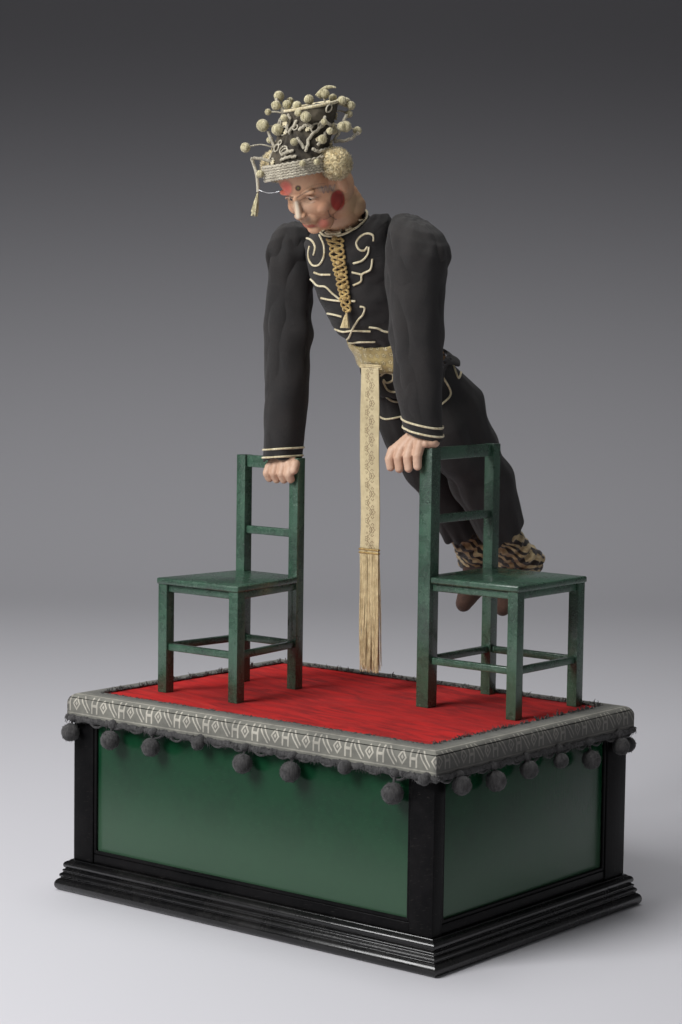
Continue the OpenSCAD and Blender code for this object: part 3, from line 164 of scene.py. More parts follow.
@contextmanager
def editing(obj: bpy.types.Object) -> Iterator[bmesh.types.BMesh]:
    """Opens an object in edit mode, with all of it selected, and closes it again.

    Args:
        obj: The object.

    Yields:
        The mesh being edited.
    """
    pick(obj)
    bpy.ops.object.mode_set(mode="EDIT")
    bpy.ops.mesh.select_mode(type="VERT")
    bpy.ops.mesh.select_all(action="SELECT")
    yield bmesh.from_edit_mesh(obj.data)
    bpy.ops.object.mode_set(mode="OBJECT")


def settled(obj: bpy.types.Object, name: str, smooth_angle: float = 40) -> bpy.types.Object:
    """Finishes a mesh: its place goes into it, doubles merge and faces point outwards.

    Args:
        obj: The object.
        name: The piece's name.
        smooth_angle: Edges sharper than this, in degrees, stay sharp.

    Returns:
        The object.
    """
    obj.name = name
    pick(obj)
    bpy.ops.object.transform_apply(location=True, rotation=True, scale=True)
    with editing(obj):
        bpy.ops.mesh.remove_doubles(threshold=SAME_PLACE)
        bpy.ops.mesh.normals_make_consistent(inside=False)
    pick(obj)
    bpy.ops.object.shade_smooth_by_angle(angle=math.radians(smooth_angle))
    return obj


def modified(obj: bpy.types.Object, kind: str, **settings: object) -> None:
    """Puts one modifier on an object and applies it.

    Args:
        obj: The object.
        kind: The modifier's type.
        **settings: The modifier's values.
    """
    pick(obj)
    modifier = obj.modifiers.new(kind.title(), kind)
    for name, value in settings.items():
        setattr(modifier, name, value)
    bpy.ops.object.modifier_apply(modifier=modifier.name)


def joined(name: str, objects: Sequence[bpy.types.Object]) -> bpy.types.Object:
    """Joins objects into one piece with this name."""
    pick(*objects)
    if len(objects) > 1:
        bpy.ops.object.join()
    whole = bpy.context.view_layer.objects.active
    whole.name = name
    return whole


def copied(obj: bpy.types.Object, place: Matrix) -> bpy.types.Object:
    """Returns a copy of an object with its own mesh, put at a place."""
    twin = bpy.data.objects.new(obj.name, obj.data.copy())
    bpy.context.scene.collection.objects.link(twin)
    twin.data.transform(place)
    return twin


def discard(obj: bpy.types.Object) -> None:
    """Removes a model that copies were made from."""
    bpy.data.objects.remove(obj)


def transformed(obj: bpy.types.Object, place: Matrix) -> bpy.types.Object:
    """Moves an object's mesh by a matrix and returns the object."""
    obj.data.transform(place)
    return obj


def folded(obj: bpy.types.Object, depth: Depth) -> None:
    """Pushes every point of a mesh in or out along its normal.

    Args:
        obj: The object.
        depth: Gives millimetres outwards from a point, in millimetres, and its normal.
    """
    normals = [v.normal.copy() for v in obj.data.vertices]
    for vertex, normal in zip(obj.data.vertices, normals):
        vertex.co += normal * depth(vertex.co / MM, normal) * MM
    obj.data.update()


def shaped_grid(name: str, across: int, along: int, shape: Shape) -> bpy.types.Object:
    """Bends a flat grid with a UV map into a surface.

    Args:
        name: The piece's name.
        across: How many faces lie across.
        along: How many faces lie along.
        shape: Gives the place, in millimetres, of the point at two shares from 0 to 1.

    Returns:
        The new object.
    """
    bpy.ops.object.select_all(action="DESELECT")
    bpy.ops.mesh.primitive_grid_add(x_subdivisions=across, y_subdivisions=along, size=2, calc_uvs=True)
    obj = bpy.context.object
    for vertex in obj.data.vertices:
        vertex.co = shape((vertex.co.x + 1) / 2, (vertex.co.y + 1) / 2) * MM
    return settled(obj, name)


def scaled_map(obj: bpy.types.Object, width: float, height: float) -> None:
    """Scales a grid's UV map to its size in millimetres."""
    for entry in obj.data.uv_layers.active.data:
        entry.uv = (entry.uv.x * width * MM, entry.uv.y * height * MM)


def tube(name: str, paths: Sequence[Sequence[Vector]], radius: float, sides: int,
         closed: bool = False, taper: Callable[[float], float] | None = None) -> bpy.types.Object:
    """Makes round cords along paths.

    Args:
        name: The piece's name.
        paths: Each cord's points, in millimetres.
        radius: The cords' radius in millimetres.
        sides: How many sides a cord has: 4, 6, 8 and so on.
        closed: Whether each cord is a ring.
        taper: Gives the radius's share at a share of the length.

    Returns:
        The new object.
    """
    curve = bpy.data.curves.new(name, "CURVE")
    curve.dimensions = "3D"
    curve.bevel_depth = radius * MM
    curve.bevel_resolution = (sides - 4) // 2
    curve.use_fill_caps = not closed
    for path in paths:
        spline = curve.splines.new("POLY")
        spline.points.add(len(path) - 1)
        spline.use_cyclic_u = closed
        for k, (point, place) in enumerate(zip(spline.points, path)):
            point.co = (*(Vector(place) * MM), 1)
            point.radius = taper(k / (len(path) - 1)) if taper else 1
    obj = bpy.data.objects.new(name, curve)
    bpy.context.scene.collection.objects.link(obj)
    pick(obj)
    bpy.ops.object.convert(target="MESH")
    obj = bpy.context.object
    return settled(obj, name, 60)


def ball(place: Vector, radii: Sequence[float] | float, detail: int = 3) -> bpy.types.Object:
    """Adds a round lump to be fused with others.

    Args:
        place: Its centre in millimetres.
        radii: Its radius, or three of them, in millimetres.
        detail: How finely it is divided.

    Returns:
        The new object, with its place in its mesh.
    """
    bpy.ops.object.select_all(action="DESELECT")
    bpy.ops.mesh.primitive_ico_sphere_add(subdivisions=detail, radius=1)
    obj = bpy.context.object
    sizes = (radii, radii, radii) if isinstance(radii, (int, float)) else radii
    matrix = Matrix.Diagonal((*(r * MM for r in sizes), 1))
    obj.data.transform(Matrix.Translation(Vector(place) * MM) @ matrix)
    return obj


def fused(name: str, lumps: Sequence[bpy.types.Object], voxel: float, smoothing: int) -> bpy.types.Object:
    """Melts lumps into one smooth body, as a modeller builds up clay.

    Args:
        name: The piece's name.
        lumps: The lumps.
        voxel: The finest detail kept, in millimetres.
        smoothing: How often the surface is smoothed.

    Returns:
        The new object.
    """
    obj = joined(name, lumps)
    modified(obj, "REMESH", mode="VOXEL", voxel_size=voxel * MM)
    if smoothing:
        modified(obj, "SMOOTH", factor=0.5, iterations=smoothing)
    pick(obj)
    bpy.ops.object.shade_smooth()
    return obj


def wool_ball(radius: float, detail: int, fibres: int, seed: int) -> bpy.types.Object:
    """Makes one woollen ball at the origin, lumpy and with stray fibres.

    Args:
        radius: Its radius in millimetres.
        detail: How finely the ball is divided.
        fibres: How many fibres stand off it.
        seed: Sets its own lumps and fibres.

    Returns:
        The new object.
    """
    draw = random.Random(seed)
    obj = ball(Vector(), radius * 0.94, detail=detail)
    offset = Vector((seed * 3.7, seed * 1.3, 0))
    tufts = 4.2
    for vertex in obj.data.vertices:
        way = vertex.co.normalized()
        swell = 0.055 * noise.noise(way * tufts + offset) + 0.06 * noise.noise(way * tufts * 3 + offset)
        vertex.co *= 1 + swell
    with editing(obj) as mesh:
        for _ in range(fibres):
            way = Vector([draw.gauss(0, 1) for _ in range(3)]).normalized()
            side = way.orthogonal().normalized()
            cross = way.cross(side)
            thick = 0.035 * radius * MM
            root = way * radius * MM * 0.88
            reach = radius * MM * draw.uniform(1.0, 1.13)
            aim = way + side * draw.uniform(-0.3, 0.3) + cross * draw.uniform(-0.3, 0.3)
            tip = aim.normalized() * reach
            ring = [mesh.verts.new(root + (side * math.cos(a) + cross * math.sin(a)) * thick)
                    for a in (0, 2.1, 4.2)]
            point = mesh.verts.new(tip)
            mesh.faces.new(ring[::-1])
            for k in range(3):
                mesh.faces.new((ring[k], ring[(k + 1) % 3], point))
        bmesh.update_edit_mesh(obj.data)
    pick(obj)
    bpy.ops.object.shade_smooth()
    return obj


class Surface:
    """The outside of a piece, on which trimmings are laid."""

    def __init__(self, obj: bpy.types.Object) -> None:
        """Reads the piece's mesh as it is now."""
        places = [v.co.copy() for v in obj.data.vertices]
        faces = [list(p.vertices) for p in obj.data.polygons]
        self.tree = BVHTree.FromPolygons(places, faces)

    def seen(self, start: Vector, way: Vector, lift: float = 0.0) -> Vector | None:
        """Finds where a line of sight meets the surface.

        Args:
            start: Where the line starts, in metres.
            way: Its direction.
            lift: How far above the surface the place lies, in millimetres.

        Returns:
            The place in millimetres, or None if the line misses.
        """
        hit, normal, _, _ = self.tree.ray_cast(start, way)
        if hit is None:
            return None
        return (hit + normal * lift * MM) / MM

    def nearest(self, place: Vector, lift: float) -> Vector:
        """Returns the surface's nearest place to one in millimetres, lifted off it."""
        hit, normal, _, _ = self.tree.find_nearest(place * MM)
        return (hit + normal * lift * MM) / MM

    def ring(self, centre: Vector, across: Vector, forward: Vector, lift: float,
             count: int = 64) -> list[Vector]:
        """Finds a ring round the surface, looked for from far outside.

        Args:
            centre: The ring's centre in millimetres.
            across: A unit direction in the ring's plane.
            forward: The other one.
            lift: How far above the surface the ring lies.
            count: How many points it has.

        Returns:
            The ring's points in millimetres.
        """
        far = 150.0
        points = []
        for k in range(count):
            a = 2 * math.pi * k / count
            way = across * math.cos(a) + forward * math.sin(a)
            place = self.seen((centre + way * far) * MM, -way, lift)
            points.append(place if place is not None else centre + way)
        return points


@dataclass(frozen=True)
class Photograph:
    """The camera that took the photograph, and what its pixels see."""

    azimuth: float = 38.66
    elevation: float = 5.04
    roll: float = 0.79
    distance: float = 2.1618
    target: tuple[float, float, float] = (-0.0126, 0.0, 0.3594)
    focal_px: float = 2345.2
    lens: float = 82.45
    middle: Pixel = (341.0, 512.0)

    def axes(self) -> tuple[Vector, Vector, Vector, Vector]:
        """Returns the camera's right, up and backward directions, and its place in metres."""
        a, e, r = (math.radians(v) for v in (self.azimuth, self.elevation, self.roll))
        back = Vector((math.sin(a) * math.cos(e), -math.cos(a) * math.cos(e), math.sin(e)))
        right = (-back).cross(Vector((0, 0, 1))).normalized()
        up = back.cross(right)
        turned_right = right * math.cos(r) + up * math.sin(r)
        turned_up = up * math.cos(r) - right * math.sin(r)
        return turned_right, turned_up, back, Vector(self.target) + back * self.distance

    def sight(self, pixel: Pixel) -> tuple[Vector, Vector]:
        """Returns the line of sight through a pixel: its start and its direction."""
        right, up, back, place = self.axes()
        way = right * (pixel[0] - self.middle[0]) - up * (pixel[1] - self.middle[1]) - back * self.focal_px
        return place, way.normalized()

    def pixel(self, place: Vector) -> Pixel:
        """Returns where a place in millimetres lies in the photograph."""
        right, up, back, start = self.axes()
        way = place * MM - start
        depth = -way.dot(back) / self.focal_px
        return self.middle[0] + way.dot(right) / depth, self.middle[1] - way.dot(up) / depth

    def place(self, pixel: Pixel, beside: Vector, nearer: float) -> Vector:
        """Finds the place that a pixel shows, given how far away it is.

        Args:
            pixel: The pixel.
            beside: A place in millimetres that is about as far away.
            nearer: How much nearer than that the new place is, in millimetres.

        Returns:
            The place in millimetres.
        """
        back = self.axes()[2]
        start, way = self.sight(pixel)
        depth = (start - beside * MM).dot(back) - nearer * MM
        return (start + way * (depth / -way.dot(back))) / MM

    def add_camera(self) -> None:
        """Adds the camera and makes it the scene's own."""
        right, up, back, place = self.axes()
        data = bpy.data.cameras.new("camera")
        data.lens = self.lens
        data.sensor_width = 36
        camera = bpy.data.objects.new("camera", data)
        bpy.context.scene.collection.objects.link(camera)
        camera.matrix_world = Matrix.Translation(place) @ Matrix((right, up, back)).transposed().to_4x4()
        bpy.context.scene.camera = camera


class Tree:
    """A node tree under construction, with short ways to add and join nodes."""

    def __init__(self, nodes: bpy.types.NodeTree) -> None:
        """Takes an empty tree."""
        self.nodes = nodes

    def node(self, kind: str, inputs: dict | None = None, **settings: object) -> bpy.types.Node:
        """Adds a node.

        Args:
            kind: The node's type, without its Shader prefix.
            inputs: Values or sockets for its inputs, by name or number.
            **settings: The node's own choices.

        Returns:
            The node.
        """
        new = self.nodes.nodes.new(kind if kind.startswith("NodeGroup") else "ShaderNode" + kind)
        for name, value in settings.items():
            setattr(new, name, value)
        for name, value in (inputs or {}).items():
            self.put(new.inputs[name], value)
        return new

    def put(self, socket: bpy.types.NodeSocket, value: object) -> None:
        """Joins another node's socket to this one, or sets its value."""
        if isinstance(value, bpy.types.NodeSocket):
            self.nodes.links.new(value, socket)
        elif socket.type == "RGBA":
            socket.default_value = (*value[:3], 1)
        else:
            socket.default_value = value

    def coordinates(self, kind: str = "Object") -> bpy.types.NodeSocket:
        """Returns the piece's own coordinates, Object or UV."""
        return self.node("TexCoord").outputs[kind]

    def placed(self, vector: object, scale: Sequence[float] = (1, 1, 1),
               turn: Sequence[float] = (0, 0, 0)) -> bpy.types.NodeSocket:
        """Turns and then scales coordinates.

        Args:
            vector: The coordinates.
            scale: The scale along each axis.
            turn: The turn about each axis in degrees.

        Returns:
            The new coordinates.
        """
        rotation = [math.radians(v) for v in turn]
        turned = self.node("Mapping", {"Vector": vector, "Rotation": rotation}).outputs[0]
        return self.node("VectorMath", {0: turned, 1: scale}, operation="MULTIPLY").outputs[0]

    def noise(self, vector: object, scale: object, detail: float = 3, rough: float = 0.55,
              twist: float = 0.0) -> bpy.types.NodeSocket:
        """Returns a noise's value over coordinates."""
        inputs = {"Vector": vector, "Scale": scale, "Detail": detail, "Roughness": rough, "Distortion": twist}
        return self.node("TexNoise", inputs).outputs[0]

    def math(self, operation: str, a: object, b: object = 0.0, c: object = 0.0) -> bpy.types.NodeSocket:
        """Returns the result of a sum on values."""
        return self.node("Math", {0: a, 1: b, 2: c}, operation=operation).outputs[0]

    def plus(self, a: object, b: object) -> bpy.types.NodeSocket:
        """Returns a and b added."""
        return self.math("ADD", a, b)

    def minus(self, a: object, b: object) -> bpy.types.NodeSocket:
        """Returns a less b."""
        return self.math("SUBTRACT", a, b)

    def times(self, a: object, b: object) -> bpy.types.NodeSocket:
        """Returns a and b multiplied."""
        return self.math("MULTIPLY", a, b)

    def size(self, a: object) -> bpy.types.NodeSocket:
        """Returns a without its sign."""
        return self.math("ABSOLUTE", a)

    def spread(self, value: object, low: object, high: object, to_low: object = 0.0,
               to_high: object = 1.0) -> bpy.types.NodeSocket:
        """Returns a value spread softly from one range over another."""
        inputs = {"Value": value, "From Min": low, "From Max": high, "To Min": to_low, "To Max": to_high}
        return self.node("MapRange", inputs, interpolation_type="SMOOTHSTEP").outputs[0]

    def mix(self, mask: object, a: object, b: object) -> bpy.types.NodeSocket:
        """Returns colour a where the mask is 0 and colour b where it is 1."""
        new = self.node("Mix", data_type="RGBA")
        self.put(new.inputs[0], mask)
        self.put(new.inputs[6], a)
        self.put(new.inputs[7], b)
        return new.outputs[2]

    def use(self, effect: bpy.types.NodeTree, **values: object) -> bpy.types.Node:
        """Places a shared effect with its own values."""
        new = self.nodes.nodes.new("ShaderNodeGroup")
        new.node_tree = effect
        for name, value in values.items():
            self.put(new.inputs[name], value)
        return new


class Effect(Tree):
    """A shared effect: a node group with named inputs and outputs."""

    def __init__(self, name: str, inputs: Sequence[str], outputs: Sequence[str]) -> None:
        """Opens a group. The first input is its coordinates and the others are values."""
        group = bpy.data.node_groups.new(name, "ShaderNodeTree")
        for k, label in enumerate(inputs):
            kind = "NodeSocketVector" if k == 0 else "NodeSocketFloat"
            group.interface.new_socket(label, in_out="INPUT", socket_type=kind)
        for label in outputs:
            group.interface.new_socket(label, in_out="OUTPUT", socket_type="NodeSocketFloat")
        super().__init__(group)
        self.given = self.node("NodeGroupInput").outputs
        self.result = self.node("NodeGroupOutput").inputs


class Effects:
    """The effects that several finishes share."""

    def __init__(self) -> None:
        """Builds each effect once."""
        self.mottle = self._mottle()
        self.wear = self._wear()
        self.weave = self._weave()
        self.strands = self._strands()

    @staticmethod
    def _mottle() -> bpy.types.NodeTree:
        """Soft patches of two sizes."""
        e = Effect("mottle", ("Place", "Scale"), ("Patches",))
        broad = e.noise(e.given[0], e.given[1], 2)
        fine = e.noise(e.given[0], e.times(e.given[1], 6.0), 3)
        both = e.plus(e.times(broad, 0.65), e.times(fine, 0.35))
        e.put(e.result[0], e.spread(both, 0.36, 0.64))
        return e.nodes

    @staticmethod
    def _wear() -> bpy.types.NodeTree:
        """Rubbed spots and fine scratches, as on old paint."""
        e = Effect("wear", ("Place", "Amount"), ("Worn", "Scratches"))
        spots = e.noise(e.given[0], 240.0, 4, 0.7, 0.6)
        where = e.noise(e.given[0], 26.0, 2)
        limit = e.minus(0.86, e.times(e.given[1], 0.3))
        summed = e.plus(e.times(spots, 0.6), e.times(where, 0.5))
        e.put(e.result[0], e.spread(summed, limit, e.plus(limit, 0.05)))
        drawn = e.placed(e.given[0], (1.0, 1.0, 14.0), (24, 13, 38))
        lines = e.noise(drawn, 160.0, 2, 0.5)
        e.put(e.result[1], e.spread(lines, 0.66, 0.72))
        return e.nodes

    @staticmethod
    def _weave() -> bpy.types.NodeTree:
        """A close weave that wraps any surface."""
        e = Effect("weave", ("Place", "Threads"), ("Height", "Shade"))
        around = math.tau
        parts = e.node("SeparateXYZ", {0: e.given[0]}).outputs
        waves = [e.math("SINE", e.times(e.times(part, e.given[1]), around)) for part in parts]
        total = e.plus(e.times(waves[0], waves[2]), e.times(waves[1], waves[2]))
        slub = e.noise(e.placed(e.given[0], (1, 1, 0.4)), 900.0, 2)
        e.put(e.result[0], e.plus(e.times(total, 0.6), e.times(slub, 0.4)))
        e.put(e.result[1], e.spread(slub, 0.3, 0.75))
        return e.nodes

    @staticmethod
    def _strands() -> bpy.types.NodeTree:
        """Fine long streaks along the third axis, as of grain, nap or silk."""
        e = Effect("strands", ("Place", "Scale"), ("Streaks",))
        drawn = e.placed(e.given[0], (1.0, 1.0, 0.07))
        streaks = e.noise(drawn, e.given[1], 5, 0.6, 0.4)
        e.put(e.result[0], e.spread(streaks, 0.32, 0.68))
        return e.nodes


class Recipe(Tree):
    """One material under construction."""

    def __init__(self, name: str) -> None:
        """Opens an empty material with a surface shader."""
        self.material = bpy.data.materials.new(name)
        self.material.use_nodes = True
        super().__init__(self.material.node_tree)
        self.nodes.nodes.clear()
        self.shader = self.node("BsdfPrincipled")
        self.node("OutputMaterial", {"Surface": self.shader.outputs[0]})

    def dress(self, colour: object, roughness: object, height: object | None = None, relief: float = 0.2,
              **constants: float) -> bpy.types.Material:
        """Feeds the surface shader.

        Args:
            colour: The base colour.
            roughness: The roughness.
            height: What the surface's fine relief follows.
            relief: How deep the relief is, in millimetres.
            **constants: Values of other sockets, with underscores for spaces.

        Returns:
            The finished material.
        """
        self.put(self.shader.inputs["Base Color"], colour)
        self.put(self.shader.inputs["Roughness"], roughness)
        if height is not None:
            inputs = {"Height": height, "Distance": relief * MM, "Strength": 0.8}
            self.put(self.shader.inputs["Normal"], self.node("Bump", inputs).outputs[0])
        for name, value in constants.items():
            self.shader.inputs[name.replace("_", " ")].default_value = value
        return self.material


@dataclass(frozen=True)
class PaintedWood:
    """Brushed paint or polish on wood, rubbed through here and there, and on the panels lightened towards the
    bottom by a painted floor reflection.
    """

    name: str
    slot: Slot
    base: Colour
    deep: Colour
    bare_and_reflected: Colour
    gloss: float = 0.3
    wear: float = 0.3
    crackle: float = 0.0
    coat: float = 0.0
    shine: float = 0.5
    # Painted floor reflection: how far the paint is lightened towards the bottom, between two heights in
    # metres.
    floor_reflection: float = 0.0
    floor_reflection_low: float = 0.05
    floor_reflection_high: float = 0.13

    def make(self, effects: Effects) -> bpy.types.Material:
        """Returns the material."""
        r = Recipe(self.name)
        place = r.coordinates()
        patches = r.use(effects.mottle, Place=place, Scale=24.0).outputs[0]
        brushed = r.use(effects.strands, Place=place, Scale=420.0).outputs[0]
        worn = r.use(effects.wear, Place=place, Amount=self.wear).outputs
        cells = r.node("TexVoronoi", {"Vector": place, "Scale": 900.0}, feature="DISTANCE_TO_EDGE").outputs[0]
        cracks = r.times(r.spread(cells, 0.0, 0.09, 1.0, 0.0), self.crackle)
        colour = r.mix(patches, self.deep, self.base)
        colour = r.mix(r.times(cracks, 0.5), colour, self.bare_and_reflected)
        colour = r.mix(r.times(worn[0], 0.75), colour, self.bare_and_reflected)
        colour = r.mix(r.times(worn[1], 0.25), colour, self.bare_and_reflected)
        # Painted floor reflection: towards the bottom the paint turns to the bare and reflected colour.
        if self.floor_reflection:
            level = r.node("SeparateXYZ", {0: place}).outputs[2]
            share = r.spread(level, self.floor_reflection_low, self.floor_reflection_high, self.floor_reflection, 0.0)
            colour = r.mix(share, colour, self.bare_and_reflected)
        rough = r.plus(self.gloss, r.times(r.plus(patches, worn[0]), 0.1))
        height = r.plus(r.times(brushed, 0.35), r.times(cracks, -0.6))
        height = r.minus(height, r.times(worn[0], 0.5))
        return r.dress(colour, rough, height, 0.1, Coat_Weight=self.coat, Coat_Roughness=0.12,
                       Specular_IOR_Level=self.shine)


@dataclass(frozen=True)
class Cloth:
    """Woven cloth with a soft fading."""

    name: str
    slot: Slot
    base: Colour
    deep: Colour
    threads: float = 2400.0
    rough: float = 0.82
    sheen: float = 0.08
    relief: float = 0.1

    def make(self, effects: Effects) -> bpy.types.Material:
        """Returns the material."""
        r = Recipe(self.name)
        place = r.coordinates()
        weave = r.use(effects.weave, Place=place, Threads=self.threads).outputs
        patches = r.use(effects.mottle, Place=place, Scale=30.0).outputs[0]
        shade = r.plus(r.times(weave[1], 0.25), r.times(patches, 0.75))
        colour = r.mix(shade, self.deep, self.base)
        rough = r.plus(self.rough, r.times(patches, 0.1))
        return r.dress(colour, rough, weave[0], self.relief, Sheen_Weight=self.sheen, Sheen_Roughness=0.5)


@dataclass(frozen=True)
class Velvet:
    """Velvet laid flat, its nap brushed in long streaks and rubbed pale in places."""

    name: str = "stage_velvet"
    slot: Slot = Slot.VELVET
    base: Colour = paint_colour(186, 22, 20)
    deep: Colour = paint_colour(128, 9, 12)
    rubbed: Colour = paint_colour(212, 62, 50)

    def make(self, effects: Effects) -> bpy.types.Material:
        """Returns the material."""
        r = Recipe(self.name)
        place = r.coordinates()
        along = r.placed(place, (0.22, 1, 1), (0, 0, 12))
        nap = r.noise(along, 90.0, 4, 0.6, 0.8)
        patches = r.use(effects.mottle, Place=place, Scale=13.0).outputs[0]
        pile = r.noise(place, 1900.0, 2)
        colour = r.mix(r.spread(nap, 0.34, 0.68), self.deep, self.base)
        colour = r.mix(r.times(patches, 0.5), colour, self.base)
        rubbed = r.spread(r.noise(along, 34.0, 5, 0.7), 0.56, 0.72)
        colour = r.mix(r.times(rubbed, 0.35), colour, self.rubbed)
        height = r.plus(r.times(pile, 0.5), r.times(nap, 0.7))
        return r.dress(colour, 0.9, height, 0.35, Sheen_Weight=0.04, Specular_IOR_Level=0.2)


@dataclass(frozen=True)
class Galloon:
    """Woven metal braid: light figures on a dark ribbed ground between corded edges."""

    name: str = "woven_galloon"
    slot: Slot = Slot.GALLOON
    ground: Colour = paint_colour(120, 119, 110)
    figure: Colour = paint_colour(206, 200, 186)
    soiled_and_shaded: Colour = paint_colour(58, 57, 56)
    repeat: float = 0.0115
    width: float = 0.041
    middle: float = 0.0265
    shaded_side_start: float = 0.2085

    def make(self, effects: Effects) -> bpy.types.Material:
        """Returns the material. The map runs in metres along the braid and across it."""
        r = Recipe(self.name)
        place = r.coordinates()
        uv = r.node("SeparateXYZ", {0: r.coordinates("UV")}).outputs
        step = r.math("DIVIDE", uv[0], self.repeat)
        cell = r.minus(r.math("FRACT", step), 0.5)
        odd = r.math("MODULO", r.size(r.math("FLOOR", step)), 3.0)
        up = r.math("DIVIDE", r.minus(uv[1], self.middle), self.repeat * 1.5)
        ax = r.size(cell)
        ay = r.size(up)
        away = r.size(r.minus(r.plus(ax, ay), 0.34))
        lozenge = r.spread(away, 0.05, 0.11, 1.0, 0.0)
        heart = r.spread(r.plus(ax, ay), 0.1, 0.15, 1.0, 0.0)
        post = r.spread(r.size(r.minus(ax, 0.27)), 0.05, 0.1, 1.0, 0.0)
        bar = r.times(r.spread(ay, 0.05, 0.1, 1.0, 0.0), r.spread(ax, 0.28, 0.33, 1.0, 0.0))
        slant = r.size(r.minus(r.size(r.minus(cell, up)), 0.2))
        slants = r.spread(slant, 0.05, 0.1, 1.0, 0.0)
        first = r.math("MAXIMUM", lozenge, heart)
        second = r.math("MAXIMUM", post, bar)
        figures = r.mix(r.math("COMPARE", odd, 1.0, 0.1), first, second)
        figures = r.mix(r.math("COMPARE", odd, 2.0, 0.1), figures, slants)
        inside = r.spread(ay, 0.46, 0.5, 1.0, 0.0)
        edge = r.spread(r.size(r.minus(ay, 0.6)), 0.02, 0.05, 0.5, 0.0)
        drawn = r.math("MAXIMUM", r.times(figures, inside), edge)
        ribs = r.math("SINE", r.times(uv[0], 9000.0))
        threads = r.math("SINE", r.times(uv[1], 11000.0))
        patches = r.use(effects.mottle, Place=place, Scale=40.0).outputs[0]
        colour = r.mix(r.times(drawn, 0.75), self.ground, self.figure)
        colour = r.mix(r.times(patches, 0.4), colour, self.soiled_and_shaded)
        # Painted shade: the braid along the left and right sides is painted darker; the flat top strip is
        # darker as well.
        x = r.node("SeparateXYZ", {0: place}).outputs[0]
        side = r.spread(r.size(x), self.shaded_side_start, self.shaded_side_start + 0.006)
        on_top = r.spread(uv[1], 0.004, 0.016, 1.0, 0.0)
        shaded_sides_and_dark_top = r.math("MAXIMUM", r.times(side, 0.72), r.times(on_top, 0.55))
        colour = r.mix(shaded_sides_and_dark_top, colour, self.soiled_and_shaded)
        height = r.plus(r.times(drawn, 0.7), r.times(ribs, 0.16))
        height = r.plus(height, r.times(threads, 0.14))
        rough = r.minus(0.72, r.times(drawn, 0.2))
        return r.dress(colour, rough, height, 0.4, Sheen_Weight=0.1)


@dataclass(frozen=True)
class Brocade:
    """Cream and gold brocade with small five-petalled flowers."""

    name: str = "belt_brocade"
    slot: Slot = Slot.BROCADE
    ground: Colour = paint_colour(196, 176, 118)
    petal: Colour = paint_colour(214, 200, 152)
    line: Colour = paint_colour(104, 82, 44)
    repeat: float = 0.0085

    def make(self, effects: Effects) -> bpy.types.Material:
        """Returns the material. The map runs in metres round the belt and up it."""
        r = Recipe(self.name)
        uv = r.coordinates("UV")
        cells = r.node("VectorMath", {0: uv, 1: (1 / self.repeat,) * 3}, operation="MULTIPLY").outputs[0]
        parts = r.node("SeparateXYZ", {0: cells}).outputs
        shift = r.times(r.math("MODULO", r.math("FLOOR", parts[1]), 2.0), 0.5)
        x = r.minus(r.math("FRACT", r.plus(parts[0], shift)), 0.5)
        y = r.minus(r.math("FRACT", parts[1]), 0.5)
        far = r.math("SQRT", r.plus(r.times(x, x), r.times(y, y)))
        turn = r.math("ARCTAN2", y, x)
        lobes = r.times(r.math("COSINE", r.times(turn, 5.0)), 0.07)
        rim = r.plus(0.27, lobes)
        flower = r.spread(r.minus(far, rim), -0.03, 0.03, 1.0, 0.0)
        outline = r.spread(r.size(r.minus(far, rim)), 0.02, 0.06, 1.0, 0.0)
        eye = r.spread(far, 0.06, 0.1, 1.0, 0.0)
        along = r.placed(r.coordinates(), turn=(0, 90, 0))
        silk = r.use(effects.strands, Place=along, Scale=900.0).outputs[0]
        patches = r.use(effects.mottle, Place=r.coordinates(), Scale=60.0).outputs[0]
        colour = r.mix(r.times(patches, 0.5), self.ground, self.line)
        colour = r.mix(flower, colour, self.petal)
        colour = r.mix(r.math("MAXIMUM", r.times(outline, 0.75), eye), colour, self.line)
        height = r.plus(r.times(flower, 0.8), r.times(silk, 0.3))
        return r.dress(colour, 0.5, height, 0.3, Sheen_Weight=0.2)


